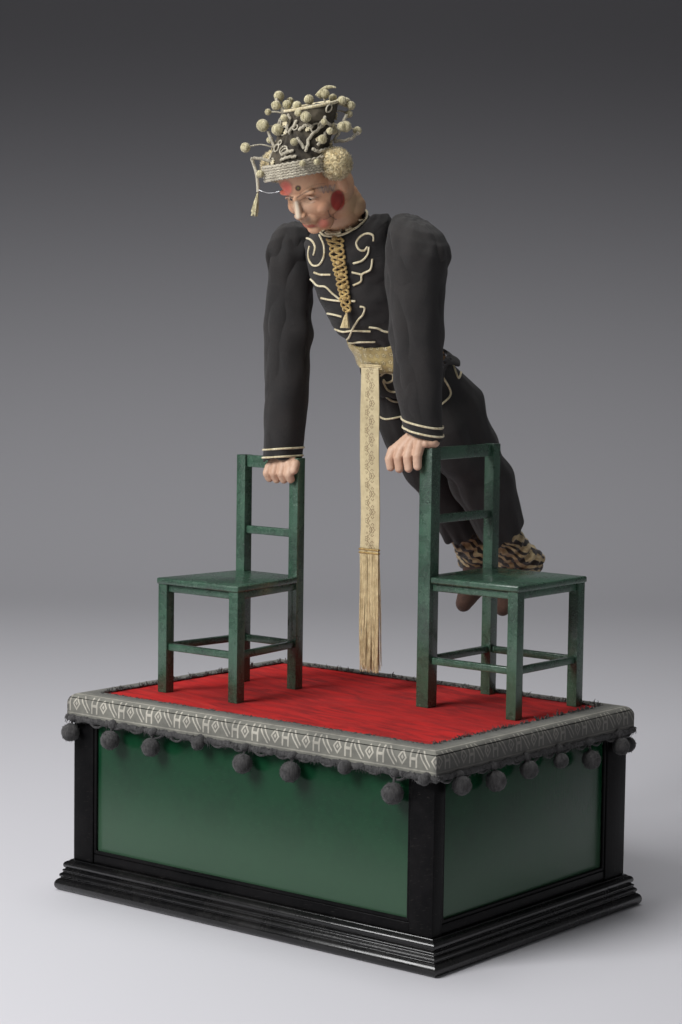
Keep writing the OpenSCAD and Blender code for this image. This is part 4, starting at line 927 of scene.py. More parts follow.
@dataclass(frozen=True)
class VineSilk:
    """A silk sash with a brown vine of twigs and small flowers down the middle."""

    name: str = "sash_silk"
    slot: Slot = Slot.SILK
    ground: Colour = paint_colour(204, 189, 150)
    line: Colour = paint_colour(96, 70, 38)
    pale: Colour = paint_colour(236, 226, 196)
    width: float = 0.023
    repeat: float = 0.017
    hem: float = 0.003

    def make(self, effects: Effects) -> bpy.types.Material:
        """Returns the material. The map runs in metres across the sash and up it."""
        r = Recipe(self.name)
        uv = r.node("SeparateXYZ", {0: r.coordinates("UV")}).outputs
        x = r.minus(uv[0], self.width / 2)
        phase = r.times(uv[1], math.tau / self.repeat)
        stem_x = r.times(r.math("SINE", phase), 0.0022)
        stem = r.spread(r.size(r.minus(x, stem_x)), 0.0001, 0.0006, 1.0, 0.0)
        half = r.math("DIVIDE", uv[1], self.repeat / 2)
        sign = r.minus(r.times(r.math("MODULO", r.math("FLOOR", half), 2.0), 2.0), 1.0)
        y = r.times(r.minus(r.math("FRACT", half), 0.5), self.repeat / 2)
        dx = r.plus(x, r.times(sign, 0.0026))
        far = r.math("SQRT", r.plus(r.times(dx, dx), r.times(y, y)))
        petals = r.times(r.math("ARCTAN2", y, dx), 5.0)
        lobes = r.times(r.math("COSINE", petals), 0.0006)
        rim = r.plus(0.0024, lobes)
        flower = r.spread(r.size(r.minus(far, rim)), 0.0001, 0.0006, 1.0, 0.0)
        heart = r.spread(far, 0.0004, 0.0009, 1.0, 0.0)
        leaf_y = r.size(r.minus(r.size(y), 0.0034))
        leaf_x = r.size(r.minus(dx, r.times(sign, 0.0054)))
        leaf_rim = r.size(r.minus(r.plus(leaf_x, leaf_y), 0.0013))
        leaf = r.spread(leaf_rim, 0.0001, 0.0006, 1.0, 0.0)
        drawn = r.math("MAXIMUM", r.math("MAXIMUM", stem, flower), r.math("MAXIMUM", heart, leaf))
        inside = r.spread(r.size(x), self.width / 2 - 0.003, self.width / 2 - 0.002, 1.0, 0.0)
        drawn = r.times(drawn, inside)
        drawn = r.times(drawn, r.spread(uv[1], self.hem, self.hem + 0.001))
        hem = r.spread(uv[1], self.hem - 0.001, self.hem, 1.0, 0.0)
        seam = r.spread(r.size(r.minus(uv[1], self.hem)), 0.0004, 0.001, 1.0, 0.0)
        silk = r.use(effects.strands, Place=r.coordinates(), Scale=1500.0).outputs[0]
        patches = r.use(effects.mottle, Place=r.coordinates(), Scale=45.0).outputs[0]
        colour = r.mix(r.times(patches, 0.28), self.ground, self.line)
        colour = r.mix(hem, colour, self.pale)
        colour = r.mix(r.times(r.math("MAXIMUM", drawn, seam), 0.8), colour, self.line)
        height = r.plus(r.times(silk, 0.3), r.times(drawn, 0.5))
        return r.dress(colour, 0.55, height, 0.2, Sheen_Weight=0.2)


@dataclass(frozen=True)
class TigerCloth:
    """Gold cloth with dark tiger stripes round the leg."""

    name: str = "tiger_stripes"
    slot: Slot = Slot.TIGER
    light: Colour = paint_colour(206, 186, 142)
    warm: Colour = paint_colour(150, 120, 80)
    dark: Colour = paint_colour(36, 26, 22)
    lean: float = 36.0

    def make(self, effects: Effects) -> bpy.types.Material:
        """Returns the material."""
        r = Recipe(self.name)
        place = r.placed(r.coordinates(), turn=(-self.lean, 0, 0))
        stripes = r.node("TexWave", {"Vector": place, "Scale": 46.0, "Distortion": 9.0, "Detail": 2.0,
                                     "Detail Scale": 1.2}, bands_direction="DIAGONAL").outputs["Fac"]
        patches = r.use(effects.mottle, Place=place, Scale=45.0).outputs[0]
        weave = r.use(effects.weave, Place=place, Threads=1900.0).outputs
        ground = r.mix(patches, self.warm, self.light)
        colour = r.mix(r.spread(stripes, 0.42, 0.58), self.dark, ground)
        return r.dress(colour, 0.8, weave[0], 0.2, Sheen_Weight=0.25)


@dataclass(frozen=True)
class Painted:
    """Smooth paint on composition, with hairline age and the colours brushed on the piece itself."""

    name: str
    slot: Slot = Slot.FLESH
    base: Colour = paint_colour(228, 176, 146)
    warm: Colour = paint_colour(196, 122, 96)
    brushed: bool = False
    gloss: float = 0.42

    def make(self, effects: Effects) -> bpy.types.Material:
        """Returns the material."""
        r = Recipe(self.name)
        place = r.coordinates()
        patches = r.use(effects.mottle, Place=place, Scale=52.0).outputs[0]
        pores = r.noise(place, 800.0, 3)
        colour = r.mix(r.times(patches, 0.35), self.base, self.warm)
        if self.brushed:
            # The face's make-up, painted highlights and painted shade come from its paint attribute.
            paint = r.node("Attribute", attribute_name=PAINT).outputs
            colour = r.mix(paint["Alpha"], colour, paint["Color"])
        worn = r.use(effects.wear, Place=place, Amount=0.12).outputs
        colour = r.mix(r.times(worn[0], 0.35), colour, self.warm)
        rough = r.plus(self.gloss, r.times(pores, 0.2))
        return r.dress(colour, rough, pores, 0.08)


@dataclass(frozen=True)
class Threads:
    """Wool or silk threads, in fine streaks of a deep and a base colour."""

    name: str
    slot: Slot
    base: Colour
    deep: Colour
    scale: float = 900.0
    rough: float = 0.85
    sheen: float = 0.3

    def make(self, effects: Effects) -> bpy.types.Material:
        """Returns the material."""
        r = Recipe(self.name)
        place = r.coordinates()
        fine = r.use(effects.strands, Place=place, Scale=self.scale).outputs[0]
        patches = r.use(effects.mottle, Place=place, Scale=150.0).outputs[0]
        shade = r.plus(r.times(fine, 0.6), r.times(patches, 0.4))
        colour = r.mix(shade, self.deep, self.base)
        return r.dress(colour, self.rough, fine, 0.25, Sheen_Weight=self.sheen)


@dataclass(frozen=True)
class Metal:
    """Old brass or steel, dull in patches and brushed."""

    name: str
    slot: Slot
    base: Colour
    tarnish: Colour
    rough: float = 0.3

    def make(self, effects: Effects) -> bpy.types.Material:
        """Returns the material."""
        r = Recipe(self.name)
        place = r.coordinates()
        patches = r.use(effects.mottle, Place=place, Scale=60.0).outputs[0]
        brushed = r.use(effects.strands, Place=place, Scale=1400.0).outputs[0]
        colour = r.mix(r.times(patches, 0.6), self.base, self.tarnish)
        rough = r.plus(self.rough, r.times(patches, 0.25))
        return r.dress(colour, rough, brushed, 0.04, Metallic=1.0)


@dataclass(frozen=True)
class SawnWood:
    """Plain sawn softwood with its grain."""

    name: str = "sawn_wood"
    slot: Slot = Slot.BARE_WOOD
    base: Colour = paint_colour(186, 150, 106)
    deep: Colour = paint_colour(128, 92, 58)

    def make(self, effects: Effects) -> bpy.types.Material:
        """Returns the material."""
        r = Recipe(self.name)
        place = r.placed(r.coordinates(), turn=(0, 90, 0))
        grain = r.use(effects.strands, Place=place, Scale=240.0).outputs[0]
        patches = r.use(effects.mottle, Place=place, Scale=18.0).outputs[0]
        shade = r.plus(r.times(grain, 0.7), r.times(patches, 0.3))
        return r.dress(r.mix(shade, self.deep, self.base), 0.75, grain, 0.2)


PAINT = "paint"
EBONY = PaintedWood("ebonised_wood", Slot.EBONY, paint_colour(19, 18, 19), paint_colour(11, 11, 12),
                    paint_colour(84, 80, 76), 0.3, 0.18, shine=0.07)
MOULDING = PaintedWood("polished_moulding", Slot.EBONY, paint_colour(22, 21, 21), paint_colour(11, 11, 12),
                       paint_colour(96, 92, 86), 0.22, 0.26, coat=0.35, shine=0.4)
# The panel's bare colour is also its painted floor reflection, which lightens the panel towards the bottom.
PANEL = PaintedWood("green_panel", Slot.PANEL, paint_colour(18, 58, 36), paint_colour(14, 50, 31),
                    paint_colour(66, 90, 72), 0.16, 0.05, coat=0.1, shine=0.2, floor_reflection=0.7)
CHAIR = PaintedWood("chair_paint", Slot.CHAIR, paint_colour(42, 80, 60), paint_colour(22, 50, 37),
                    paint_colour(134, 160, 142), 0.22, 0.46, 0.8, 0.4)
COTTON = Cloth("black_cotton", Slot.COTTON, paint_colour(44, 41, 40), paint_colour(24, 22, 22))
SOUTACHE = Threads("cream_braid", Slot.CREAM, paint_colour(238, 229, 198), paint_colour(176, 158, 116))
GOLD_CORD = Threads("gold_cord", Slot.SILK, paint_colour(206, 178, 112), paint_colour(128, 96, 48))
SILK = Threads("silk_threads", Slot.SILK, paint_colour(234, 218, 172),
               paint_colour(166, 142, 98), 2600.0, 0.6)
HAT = Cloth("hat_cloth", Slot.HAT, paint_colour(84, 76, 62), paint_colour(38, 33, 28), 1500.0)
TINSEL = Threads("silver_tinsel", Slot.HAT, paint_colour(214, 206, 184),
                 paint_colour(116, 106, 88), 1600.0, 0.45)
CREAM_WOOL = Threads("cream_wool", Slot.CREAM, paint_colour(240, 226, 184),
                     paint_colour(184, 160, 112), 700.0)
OLD_WOOL = Threads("old_wool", Slot.CREAM, paint_colour(226, 216, 178), paint_colour(112, 102, 66), 900.0)
FRINGE = Threads("grey_wool", Slot.FRINGE, paint_colour(74, 72, 72),
                 paint_colour(28, 28, 29), 800.0, sheen=0.12)
FRAY = Threads("frayed_edge", Slot.GALLOON, paint_colour(64, 64, 62), paint_colour(24, 26, 24), 1200.0)
SLIPPER = Cloth("slipper_cloth", Slot.SLIPPER, paint_colour(92, 66, 54), paint_colour(44, 30, 28), 1700.0)
FLESH = Painted("hand_paint", base=paint_colour(206, 172, 148), warm=paint_colour(170, 122, 94))
FACE = Painted("face_paint", base=paint_colour(218, 172, 136), brushed=True, gloss=0.34)
BRASS = Metal("brass", Slot.BRASS, (0.72, 0.5, 0.2), (0.3, 0.2, 0.08))
STEEL = Metal("steel", Slot.STEEL, (0.5, 0.51, 0.53), (0.2, 0.19, 0.18))
NODE_FINISHES = {
    Slot.EBONY: EBONY, Slot.PANEL: PANEL, Slot.BARE_WOOD: SawnWood(), Slot.CHAIR: CHAIR, Slot.COTTON: COTTON,
    Slot.FLESH: FLESH, Slot.HAT: HAT, Slot.BRASS: BRASS, Slot.STEEL: STEEL, Slot.SILK: SILK,
    Slot.CREAM: CREAM_WOOL, Slot.TIGER: TigerCloth(), Slot.SLIPPER: SLIPPER, Slot.FRINGE: FRINGE,
    Slot.BROCADE: Brocade(), Slot.GALLOON: Galloon(), Slot.VELVET: Velvet(),
}


@dataclass
class Workshop:
    """What every sub-assembly works with: the frame, the finishes and the photograph's camera."""

    frame: dict
    effects: Effects
    photograph: Photograph

    def __post_init__(self) -> None:
        """Starts with no material made."""
        self.materials: dict[str, bpy.types.Material] = {}

    def material(self, finish: object) -> bpy.types.Material:
        """Returns a finish's material, made once."""
        if finish.name not in self.materials:
            self.materials[finish.name] = finish.make(self.effects)
        return self.materials[finish.name]

    def body_of(self, node: str) -> str:
        """Returns the name of the body that a node rides on."""
        return self.frame["nodes"][node]["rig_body"]

    def piece(self, obj: bpy.types.Object, finish: object, body: str, *nodes: str) -> bpy.types.Object:
        """Dresses a finished piece and fastens it.

        Args:
            obj: The piece.
            finish: Its finish.
            body: The body that it rides on.
            *nodes: The nodes that it stands for.

        Returns:
            The piece.
        """
        obj.data.materials.clear()
        obj.data.materials.append(self.material(finish))
        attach(obj, body)
        if nodes:
            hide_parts(*nodes)
        LOG.info("%s: %d faces on %s", obj.name, len(obj.data.polygons), body)
        return obj

    def copy_of(self, node: str, name: str) -> bpy.types.Object:
        """Copies a node's mesh, with its loose triangles merged."""
        obj = bpy.data.objects.new(name, self.frame["nodes"][node].data.copy())
        bpy.context.scene.collection.objects.link(obj)
        obj.data.materials.clear()
        with editing(obj):
            bpy.ops.mesh.remove_doubles(threshold=SAME_PLACE)
        return obj

    def joinery(self, node: str, name: str, finish: object, round_over: float) -> None:
        """Replaces a wooden node by one with rounded edges.

        Args:
            node: The node.
            name: The piece's name.
            finish: Its finish.
            round_over: How wide the rounding is, in millimetres.
        """
        obj = self.copy_of(node, name)
        with editing(obj):
            bpy.ops.mesh.dissolve_limited(angle_limit=math.radians(1))
        modified(obj, "BEVEL", width=round_over * MM, segments=3, limit_method="ANGLE",
                 angle_limit=math.radians(35), use_clamp_overlap=True)
        settled(obj, name, 35)
        self.piece(obj, finish, self.body_of(node), node)

    def tailored(self, node: str, name: str, finish: object, voxel: float, smoothing: int,
                 folds: Depth) -> bpy.types.Object:
        """Replaces a cloth node by one with soft edges and folds.

        Args:
            node: The node.
            name: The piece's name.
            finish: Its finish.
            voxel: The size of its faces in millimetres.
            smoothing: How often it is smoothed.
            folds: How far its folds stand out.

        Returns:
            The piece.
        """
        obj = self.copy_of(node, name)
        modified(obj, "REMESH", mode="VOXEL", voxel_size=voxel * MM)
        modified(obj, "SMOOTH", factor=0.5, iterations=smoothing)
        folded(obj, folds)
        pick(obj)
        bpy.ops.object.shade_smooth()
        return self.piece(obj, finish, self.body_of(node), node)

    def traced(self, surface: Surface, pixels: Sequence[Pixel], lift: float,
               steps: int = 6) -> list[Vector]:
        """Lays a line drawn in the photograph on a surface.

        Args:
            surface: What it lies on.
            pixels: The line's points in the photograph.
            lift: How far above the surface it lies, in millimetres.
            steps: How many steps lie between two points.

        Returns:
            The line's points in millimetres.
        """
        flat = flowing(pixels, steps)
        found = (surface.seen(*self.photograph.sight((p.x, p.y)), lift) for p in flat)
        return [place for place in found if place is not None]


@dataclass
class Cabinet:
    """The box that holds the clockwork."""

    shop: Workshop
    half_w: float = 209.0
    half_d: float = 148.5
    plinth_in: float = 12.0
    post_w: float = 25.0
    front_post: float = 14.0
    back_post: float = 32.0
    panel_low: float = 38.0
    panel_high: float = 165.0
    bead_w: float = 3.2
    moulding: tuple[tuple[float, float], ...] = (
        (9.6, 0), (11.4, 1.2), (12.5, 3.0), (12.9, 5.2), (12.6, 7.4), (11.6, 9.4), (10.0, 10.8),
        (8.6, 11.4), (8.4, 12.2), (9.3, 13.0), (9.6, 14.2), (9.2, 15.4), (8.0, 16.2), (7.0, 16.8),
        (6.9, 17.6), (7.5, 18.3), (7.4, 19.3), (6.2, 20.0), (5.2, 20.4), (5.6, 21.0), (6.6, 22.0),
        (7.0, 23.4), (6.8, 25.0), (5.9, 26.4), (4.6, 27.2), (3.0, 27.8), (2.2, 28.4), (2.0, 29))

    def build(self) -> None:
        """Makes the plinth, frame, panels and boards."""
        self.plinth()
        for node, round_over in (("cabinet_frame", 0.9), ("top_board", 1.4)):
            self.shop.joinery(node, node.replace("cabinet_", "corner_") + "_wood", EBONY, round_over)
        for node in ("front_panel", "back_panel", "side_panels"):
            self.shop.joinery(node, node + "_board", PANEL, 0.4)
        self.shop.joinery("floor_board", "floor_plank", SawnWood(), 0.6)
        self.beads()

    def plinth(self) -> None:
        """Draws the moulded plinth up from its outline, and hollows it."""
        bpy.ops.object.select_all(action="DESELECT")
        bpy.ops.mesh.primitive_plane_add(size=2)
        obj = bpy.context.object
        low = self.moulding[0][1]
        sizes = [(self.half_w + o, self.half_d + o, z) for o, z in self.moulding]
        inside = (self.half_w - self.plinth_in, self.half_d - self.plinth_in)
        sizes += [(*inside, self.moulding[-1][1]), (*inside, low)]
        obj.scale = (sizes[0][0] * MM, sizes[0][1] * MM, 1)
        bpy.ops.object.transform_apply(location=False, rotation=False, scale=True)
        with editing(obj):
            for (w0, d0, z0), (w1, d1, z1) in zip(sizes, sizes[1:]):
                bpy.ops.mesh.extrude_region_move(TRANSFORM_OT_translate={"value": (0, 0, (z1 - z0) * MM)})
                bpy.ops.transform.resize(value=(w1 / w0, d1 / d0, 1))
            bpy.ops.mesh.delete(type="ONLY_FACE")
            bpy.ops.mesh.select_all(action="DESELECT")
            mesh = bmesh.from_edit_mesh(obj.data)
            for face in mesh.faces:
                face.select = abs(face.normal.z) > 0.9 and face.calc_center_median().z < 0.1 * MM
            bpy.ops.mesh.delete(type="ONLY_FACE")
            bpy.ops.mesh.select_all(action="DESELECT")
            bpy.ops.mesh.select_non_manifold()
            bpy.ops.mesh.bridge_edge_loops()
        modified(obj, "BEVEL", width=0.35 * MM, segments=2, limit_method="ANGLE",
                 angle_limit=math.radians(40))
        settled(obj, "moulded_plinth", 30)
        self.shop.piece(obj, MOULDING, "root", "plinth")

    def bead(self, width: float, height: float) -> bpy.types.Object:
        """Makes one bead frame round a panel, standing in the XZ plane and facing -Y."""
        bpy.ops.object.select_all(action="DESELECT")
        bpy.ops.mesh.primitive_plane_add(size=1, rotation=(math.radians(90), 0, 0))
        obj = bpy.context.object
        obj.scale = (width * MM, height * MM, 1)
        bpy.ops.object.transform_apply(location=False, rotation=True, scale=True)
        with editing(obj):
            bpy.ops.mesh.inset(thickness=self.bead_w * MM)
            bpy.ops.mesh.delete(type="ONLY_FACE")
        modified(obj, "SOLIDIFY", thickness=2.6 * MM, offset=0)
        modified(obj, "BEVEL", width=1.0 * MM, segments=4, limit_method="ANGLE", angle_limit=math.radians(40))
        return obj

    def beads(self) -> None:
        """Sets a bead frame against each panel."""
        middle = (self.panel_low + self.panel_high) / 2
        height = self.panel_high - self.panel_low
        face = 2.4
        long_bead = self.bead(2 * (self.half_w - self.post_w), height)
        side_w = 2 * self.half_d - self.front_post - self.back_post
        short_bead = self.bead(side_w, height)
        side_y = (self.front_post - self.back_post) / 2
        turns = []
        for side in (-1, 1):
            back = Matrix.Translation(at(0, side * (self.half_d - face), middle))
            turns.append(copied(long_bead, back))
            place = Matrix.Translation(at(side * (self.half_w - face), side_y, middle))
            turns.append(copied(short_bead, place @ Matrix.Rotation(math.radians(90), 4, "Z")))
        discard(long_bead)
        discard(short_bead)
        self.shop.piece(settled(joined("panel_beads", turns), "panel_beads", 35), EBONY, "root")


@dataclass
class Stage:
    """The velvet, braid and pompoms that cover the cabinet's top."""

    shop: Workshop
    half_w: float = 212.0
    half_d: float = 151.5
    stage_z: float = 185.0
    velvet_t: float = 2.0
    braid_in: float = 21.0
    braid_low: float = 165.0
    braid_t: float = 1.5
    roll: float = 9.0
    pompom_r: float = 9.0
    pompom_z: float = 150.0
    front_count: int = 9
    side_count: int = 6
    swag_counts: tuple[int, int] = (17, 12)
    front_sizes: tuple[float, ...] = (1.0, 1.04, 1.0, 0.72, 1.04, 1.06, 0.72, 1.1, 0.6)
    front_lifts: tuple[float, ...] = (1, 0, 0, 11, 0, 0, 12, -3, 13)
    front_shifts: tuple[float, ...] = (0, 0, 0, 6, 7.5, 10.5, 19, 19, 0)
    heading_r: float = 3.0
    front_reach: float = 204.5
    front_y: float = 157.8
    side_x: float = 218.3
    side_step: float = 49.5

    def build(self) -> None:
        """Lays the velvet and hangs the trimmings."""
        self.velvet()
        self.braid()
        self.frayed_edge()
        self.fringe()

    def velvet(self) -> None:
        """Lays the velvet sheet over the top board, round the driving post."""
        obj = self.shop.copy_of("carpet", "stage_velvet")
        modified(obj, "REMESH", mode="VOXEL", voxel_size=1.9 * MM)
        for vertex in obj.data.vertices:
            p = vertex.co / MM
            if p.z > self.stage_z - self.velvet_t / 2:
                ripple = 0.5 * noise.noise(Vector((p.x * 0.02, p.y * 0.06, 3))) - 0.2
                vertex.co.z = (self.stage_z + min(ripple, 0.15)) * MM
            else:
                vertex.co.z = (self.stage_z - self.velvet_t) * MM
            curve = self.roll - self.braid_t
            out = max(abs(p.x) - self.half_w, abs(p.y) - self.half_d) + curve
            if out > 0:
                fall = curve - math.sqrt(max(0.0, curve * curve - out * out))
                vertex.co.z -= fall * MM
        settled(obj, "stage_velvet", 60)
        self.shop.piece(obj, Velvet(), "root", "carpet")

    def edges(self) -> Iterator[tuple[int, float, float, Matrix]]:
        """Yields each edge of the stage: its number, half its length, its distance out and its turn."""
        for side in range(4):
            along, half = (self.half_w, self.half_d) if side % 2 == 0 else (self.half_d, self.half_w)
            yield side, along, half, Matrix.Rotation(math.radians(90 * side), 3, "Z")

    def profile(self, share: float) -> tuple[float, float]:
        """Returns the braid's section at a share of its width: how far outside the board, and its height."""
        reach = self.braid_in + self.stage_z + self.braid_t - self.braid_low
        s = share * reach
        flat = self.braid_in - self.roll + self.braid_t
        bend = self.roll * math.pi / 2
        top = self.stage_z + self.braid_t
        if s < flat:
            return s - self.braid_in, top
        if s < flat + bend:
            a = (s - flat) / self.roll
            out = flat - self.braid_in + self.roll * math.sin(a)
            return out, top - self.roll * (1 - math.cos(a))
        down = (s - flat - bend) / (reach - flat - bend)
        return self.braid_t, (top - self.roll) * (1 - down) + self.braid_low * down

    def braid(self) -> None:
        """Makes the four mitred lengths of braid, ribbed and corded along both edges."""
        strips = []
        for side, along, half, turn in self.edges():

            def shape(u: float, v: float) -> Vector:
                out, z = self.profile(v)
                x = (2 * u - 1) * (along + out)
                ripple = 0.35 * noise.noise(Vector((x * 0.05, v * 3, side * 9)))
                cord = 0.5 * (bump(v - 0.02, 0.02) + bump(v - 0.97, 0.025))
                wave = 0.5 * math.sin(x * 0.9) * bump(v - 1, 0.03)
                rise = (ripple * 0.4 + cord) * (1 - v) + wave
                return Vector((x, -half - out - (ripple + cord) * v, z + rise))

            strip = shaped_grid("braid", 180, 26, shape)
            layer = strip.data.uv_layers.active.data
            for loop in strip.data.loops:
                share = layer[loop.index].uv.copy()
                place = strip.data.vertices[loop.vertex_index].co
                layer[loop.index].uv = (place.x + side * 0.5, share.y * Galloon.width)
            modified(strip, "SOLIDIFY", thickness=self.braid_t * 0.8 * MM, offset=-1)
            strips.append(transformed(strip, turn.to_4x4()))
        obj = joined("galloon_braid", strips)
        pick(obj)
        bpy.ops.object.shade_smooth_by_angle(angle=math.radians(50))
        self.shop.piece(obj, Galloon(), "root", "trim_band")

    def frayed_edge(self) -> None:
        """Roughs up the braid's inner edge and corners with short tufts."""
        draw = random.Random(11)
        tufts = []
        for side, along, half, turn in self.edges():
            count = int(along * 2 / 0.8)
            for k in range(count):
                x = (2 * (k + draw.random()) / count - 1) * (along - self.braid_in)
                clump = max(0.0, noise.noise(Vector((x * 0.09, side * 11, 2))) + 0.35)
                thick = 0.35 + (1.5 * clump if side else 0.3 * clump)
                y = -half + self.braid_in + draw.uniform(-3.0, 0.8)
                start = Vector((x, y, self.stage_z + self.braid_t * 0.6))
                lean = Vector((draw.uniform(-2.4, 2.4), draw.uniform(-1.8, 2.2),
                               draw.uniform(0.8, 4.2) * thick))
                curl = Vector((draw.uniform(-1.4, 1.4), draw.uniform(-1, 1), draw.uniform(-1.0, 0.3)))
                tufts.append([turn @ p for p in (start, start + lean * 0.6, start + lean + curl)])
        obj = tube("frayed_edge", tufts, 0.5, 4, taper=lambda share: 1.3 - share)
        self.shop.piece(obj, FRAY, "root")

    def hangers(self) -> list[tuple[float, float, Vector]]:
        """Returns where each pompom hangs: its x, its y and the way that its side faces."""
        places = []
        for side in (-1, 1):
            for k in range(self.front_count):
                x = -self.front_reach + k * 2 * self.front_reach / (self.front_count - 1)
                places.append((x, side * self.front_y, Vector((0, side, 0))))
            for k in range(self.side_count):
                y = (k - (self.side_count - 1) / 2) * self.side_step
                places.append((side * self.side_x, y, Vector((side, 0, 0))))
        return places

    def heading(self) -> None:
        """Runs a woolly heading along the braid's lower edge."""
        draw = random.Random(17)
        rim = []
        tufts = []
        for side, along, half, turn in self.edges():
            count = int(along / 1.6)
            for k in range(count):
                x = (2 * k / count - 1) * (along + 1)
                out = self.heading_r * (0.35 + 0.3 * noise.noise(Vector((x * 0.11, side * 7, 0))))
                low = self.braid_low - 1.2 + 1.6 * noise.noise(Vector((x * 0.16, side * 5, 4)))
                rim.append(turn @ Vector((x, -half - out, low)))
            for _ in range(int(along * 3.2)):
                x = draw.uniform(-1, 1) * (along + 2)
                start = Vector((x, -half - 1.6, self.braid_low + draw.uniform(-2.5, 1.5)))
                tip = start + Vector((draw.uniform(-2.2, 2.2), draw.uniform(-3.6, -0.6),
                                      draw.uniform(-5.5, 0.5)))
                tufts.append([turn @ start, turn @ ((start + tip) / 2 + Vector((0, -0.8, 0.6))), turn @ tip])
        self.shop.piece(tube("fringe_heading_wool", [rim], self.heading_r, 8, closed=True), FRINGE, "root")
        wool = tube("heading_tufts", tufts, 0.42, 4, taper=lambda share: 1.2 - share)
        self.shop.piece(wool, FRINGE, "root")

    def fringe(self) -> None:
        """Hangs the pompoms on their knots, with swags of cord between them."""
        self.heading()
        draw = random.Random(5)
        balls = []
        knots = []
        cords = []
        models = [wool_ball(self.pompom_r, 3, 220, seed) for seed in (1, 2, 3)]
        knot = wool_ball(4.2, 2, 40, 9)
        for k, (x, y, outward) in enumerate(self.hangers()):
            size = draw.uniform(0.8, 1.06)
            drop = draw.uniform(-3.0, 5.0)
            if outward.y < 0:
                nth = round((x + self.front_reach) / (2 * self.front_reach) * (self.front_count - 1))
                size, drop = self.front_sizes[nth], self.front_lifts[nth]
                x += self.front_shifts[nth]
            centre = Vector((x, y, self.pompom_z + drop))
            spin = Matrix.Rotation(draw.uniform(0, 6), 4, "Z") @ Matrix.Rotation(draw.uniform(0, 3), 4, "X")
            ball_place = Matrix.Translation(centre * MM) @ spin @ Matrix.Scale(size, 4)
            balls.append(copied(models[k % 3], ball_place))
            top = centre - outward * 3.6 + Vector((0, 0, 14.0 - drop))
            knot_place = Matrix.Translation(top * MM) @ spin @ Matrix.Diagonal((1.25, 1.25, 0.9, 1))
            knots.append(copied(knot, knot_place))
            cords.append([top, (top + centre) / 2 + outward * 0.6, centre])
        for side, along, half, turn in self.edges():
            count = self.swag_counts[side % 2]
            for k in range(count):
                left = -along + 2 * along * k / count
                step = 2 * along / count
                deep = draw.uniform(5.5, 8.5)
                swag = []
                for j in range(9):
                    t = j / 8
                    dip = deep * (1 - (2 * t - 1) ** 2)
                    swag.append(turn @ Vector((left + step * t, -half - 1.2 - 1.4 * math.sin(math.pi * t),
                                               self.braid_low + 1.6 - dip)))
                cords.append(swag)
        for model in (*models, knot):
            discard(model)
        pompoms = joined("pompoms", balls)
        self.shop.piece(pompoms, FRINGE, "root", "pompom_fringe")
        self.shop.piece(joined("pompom_knots", knots), FRINGE, "root")
        self.shop.piece(tube("fringe_cords", cords, 1.15, 6), FRINGE, "root")


@dataclass
class Chairs:
    """The two painted chairs."""

    shop: Workshop
    nodes: tuple[str, ...] = (
        "left_chair_seat", "left_chair_legs", "left_chair_rails", "right_chair_seat", "right_chair_legs",
        "drive_post", "right_chair_rails")

    def build(self) -> None:
        """Rounds the edges of every board, leg and rail."""
        for node in self.nodes:
            round_over = 1.6 if node.endswith("seat") else 0.9
            self.shop.joinery(node, node + "_wood", CHAIR, round_over)


TRUNK_LEAN = math.radians(36)
TRUNK = Matrix.Translation(at(-19.5, 18.4, 603)) @ Matrix.Rotation(TRUNK_LEAN, 4, "X")
HEAD = Matrix.Translation(at(-19.5, 4.81, 630.2)) @ Matrix.Rotation(math.radians(40), 4, "X")
HAT_DROP = Matrix.Translation(at(0, 0, -5.5))
HAT_PLACE = HEAD @ Matrix.Translation(at(0, -23, 74)) @ Matrix.Rotation(math.radians(-22.5), 4, "X")


def creased(p: Vector, scale: Sequence[float], strength: float) -> float:
    """Returns the depth of irregular soft creases at a place.

    Args:
        p: The place in millimetres.
        scale: How close the creases lie along each axis.
        strength: Their depth in millimetres.

    Returns:
        The depth in millimetres.
    """
    q = Vector((p.x * scale[0], p.y * scale[1], p.z * scale[2]))
    ridge = 1 - abs(noise.noise(q)) * 2.2
    return strength * (0.7 * ridge + 0.5 * noise.noise(q * 2.3) - 0.45)


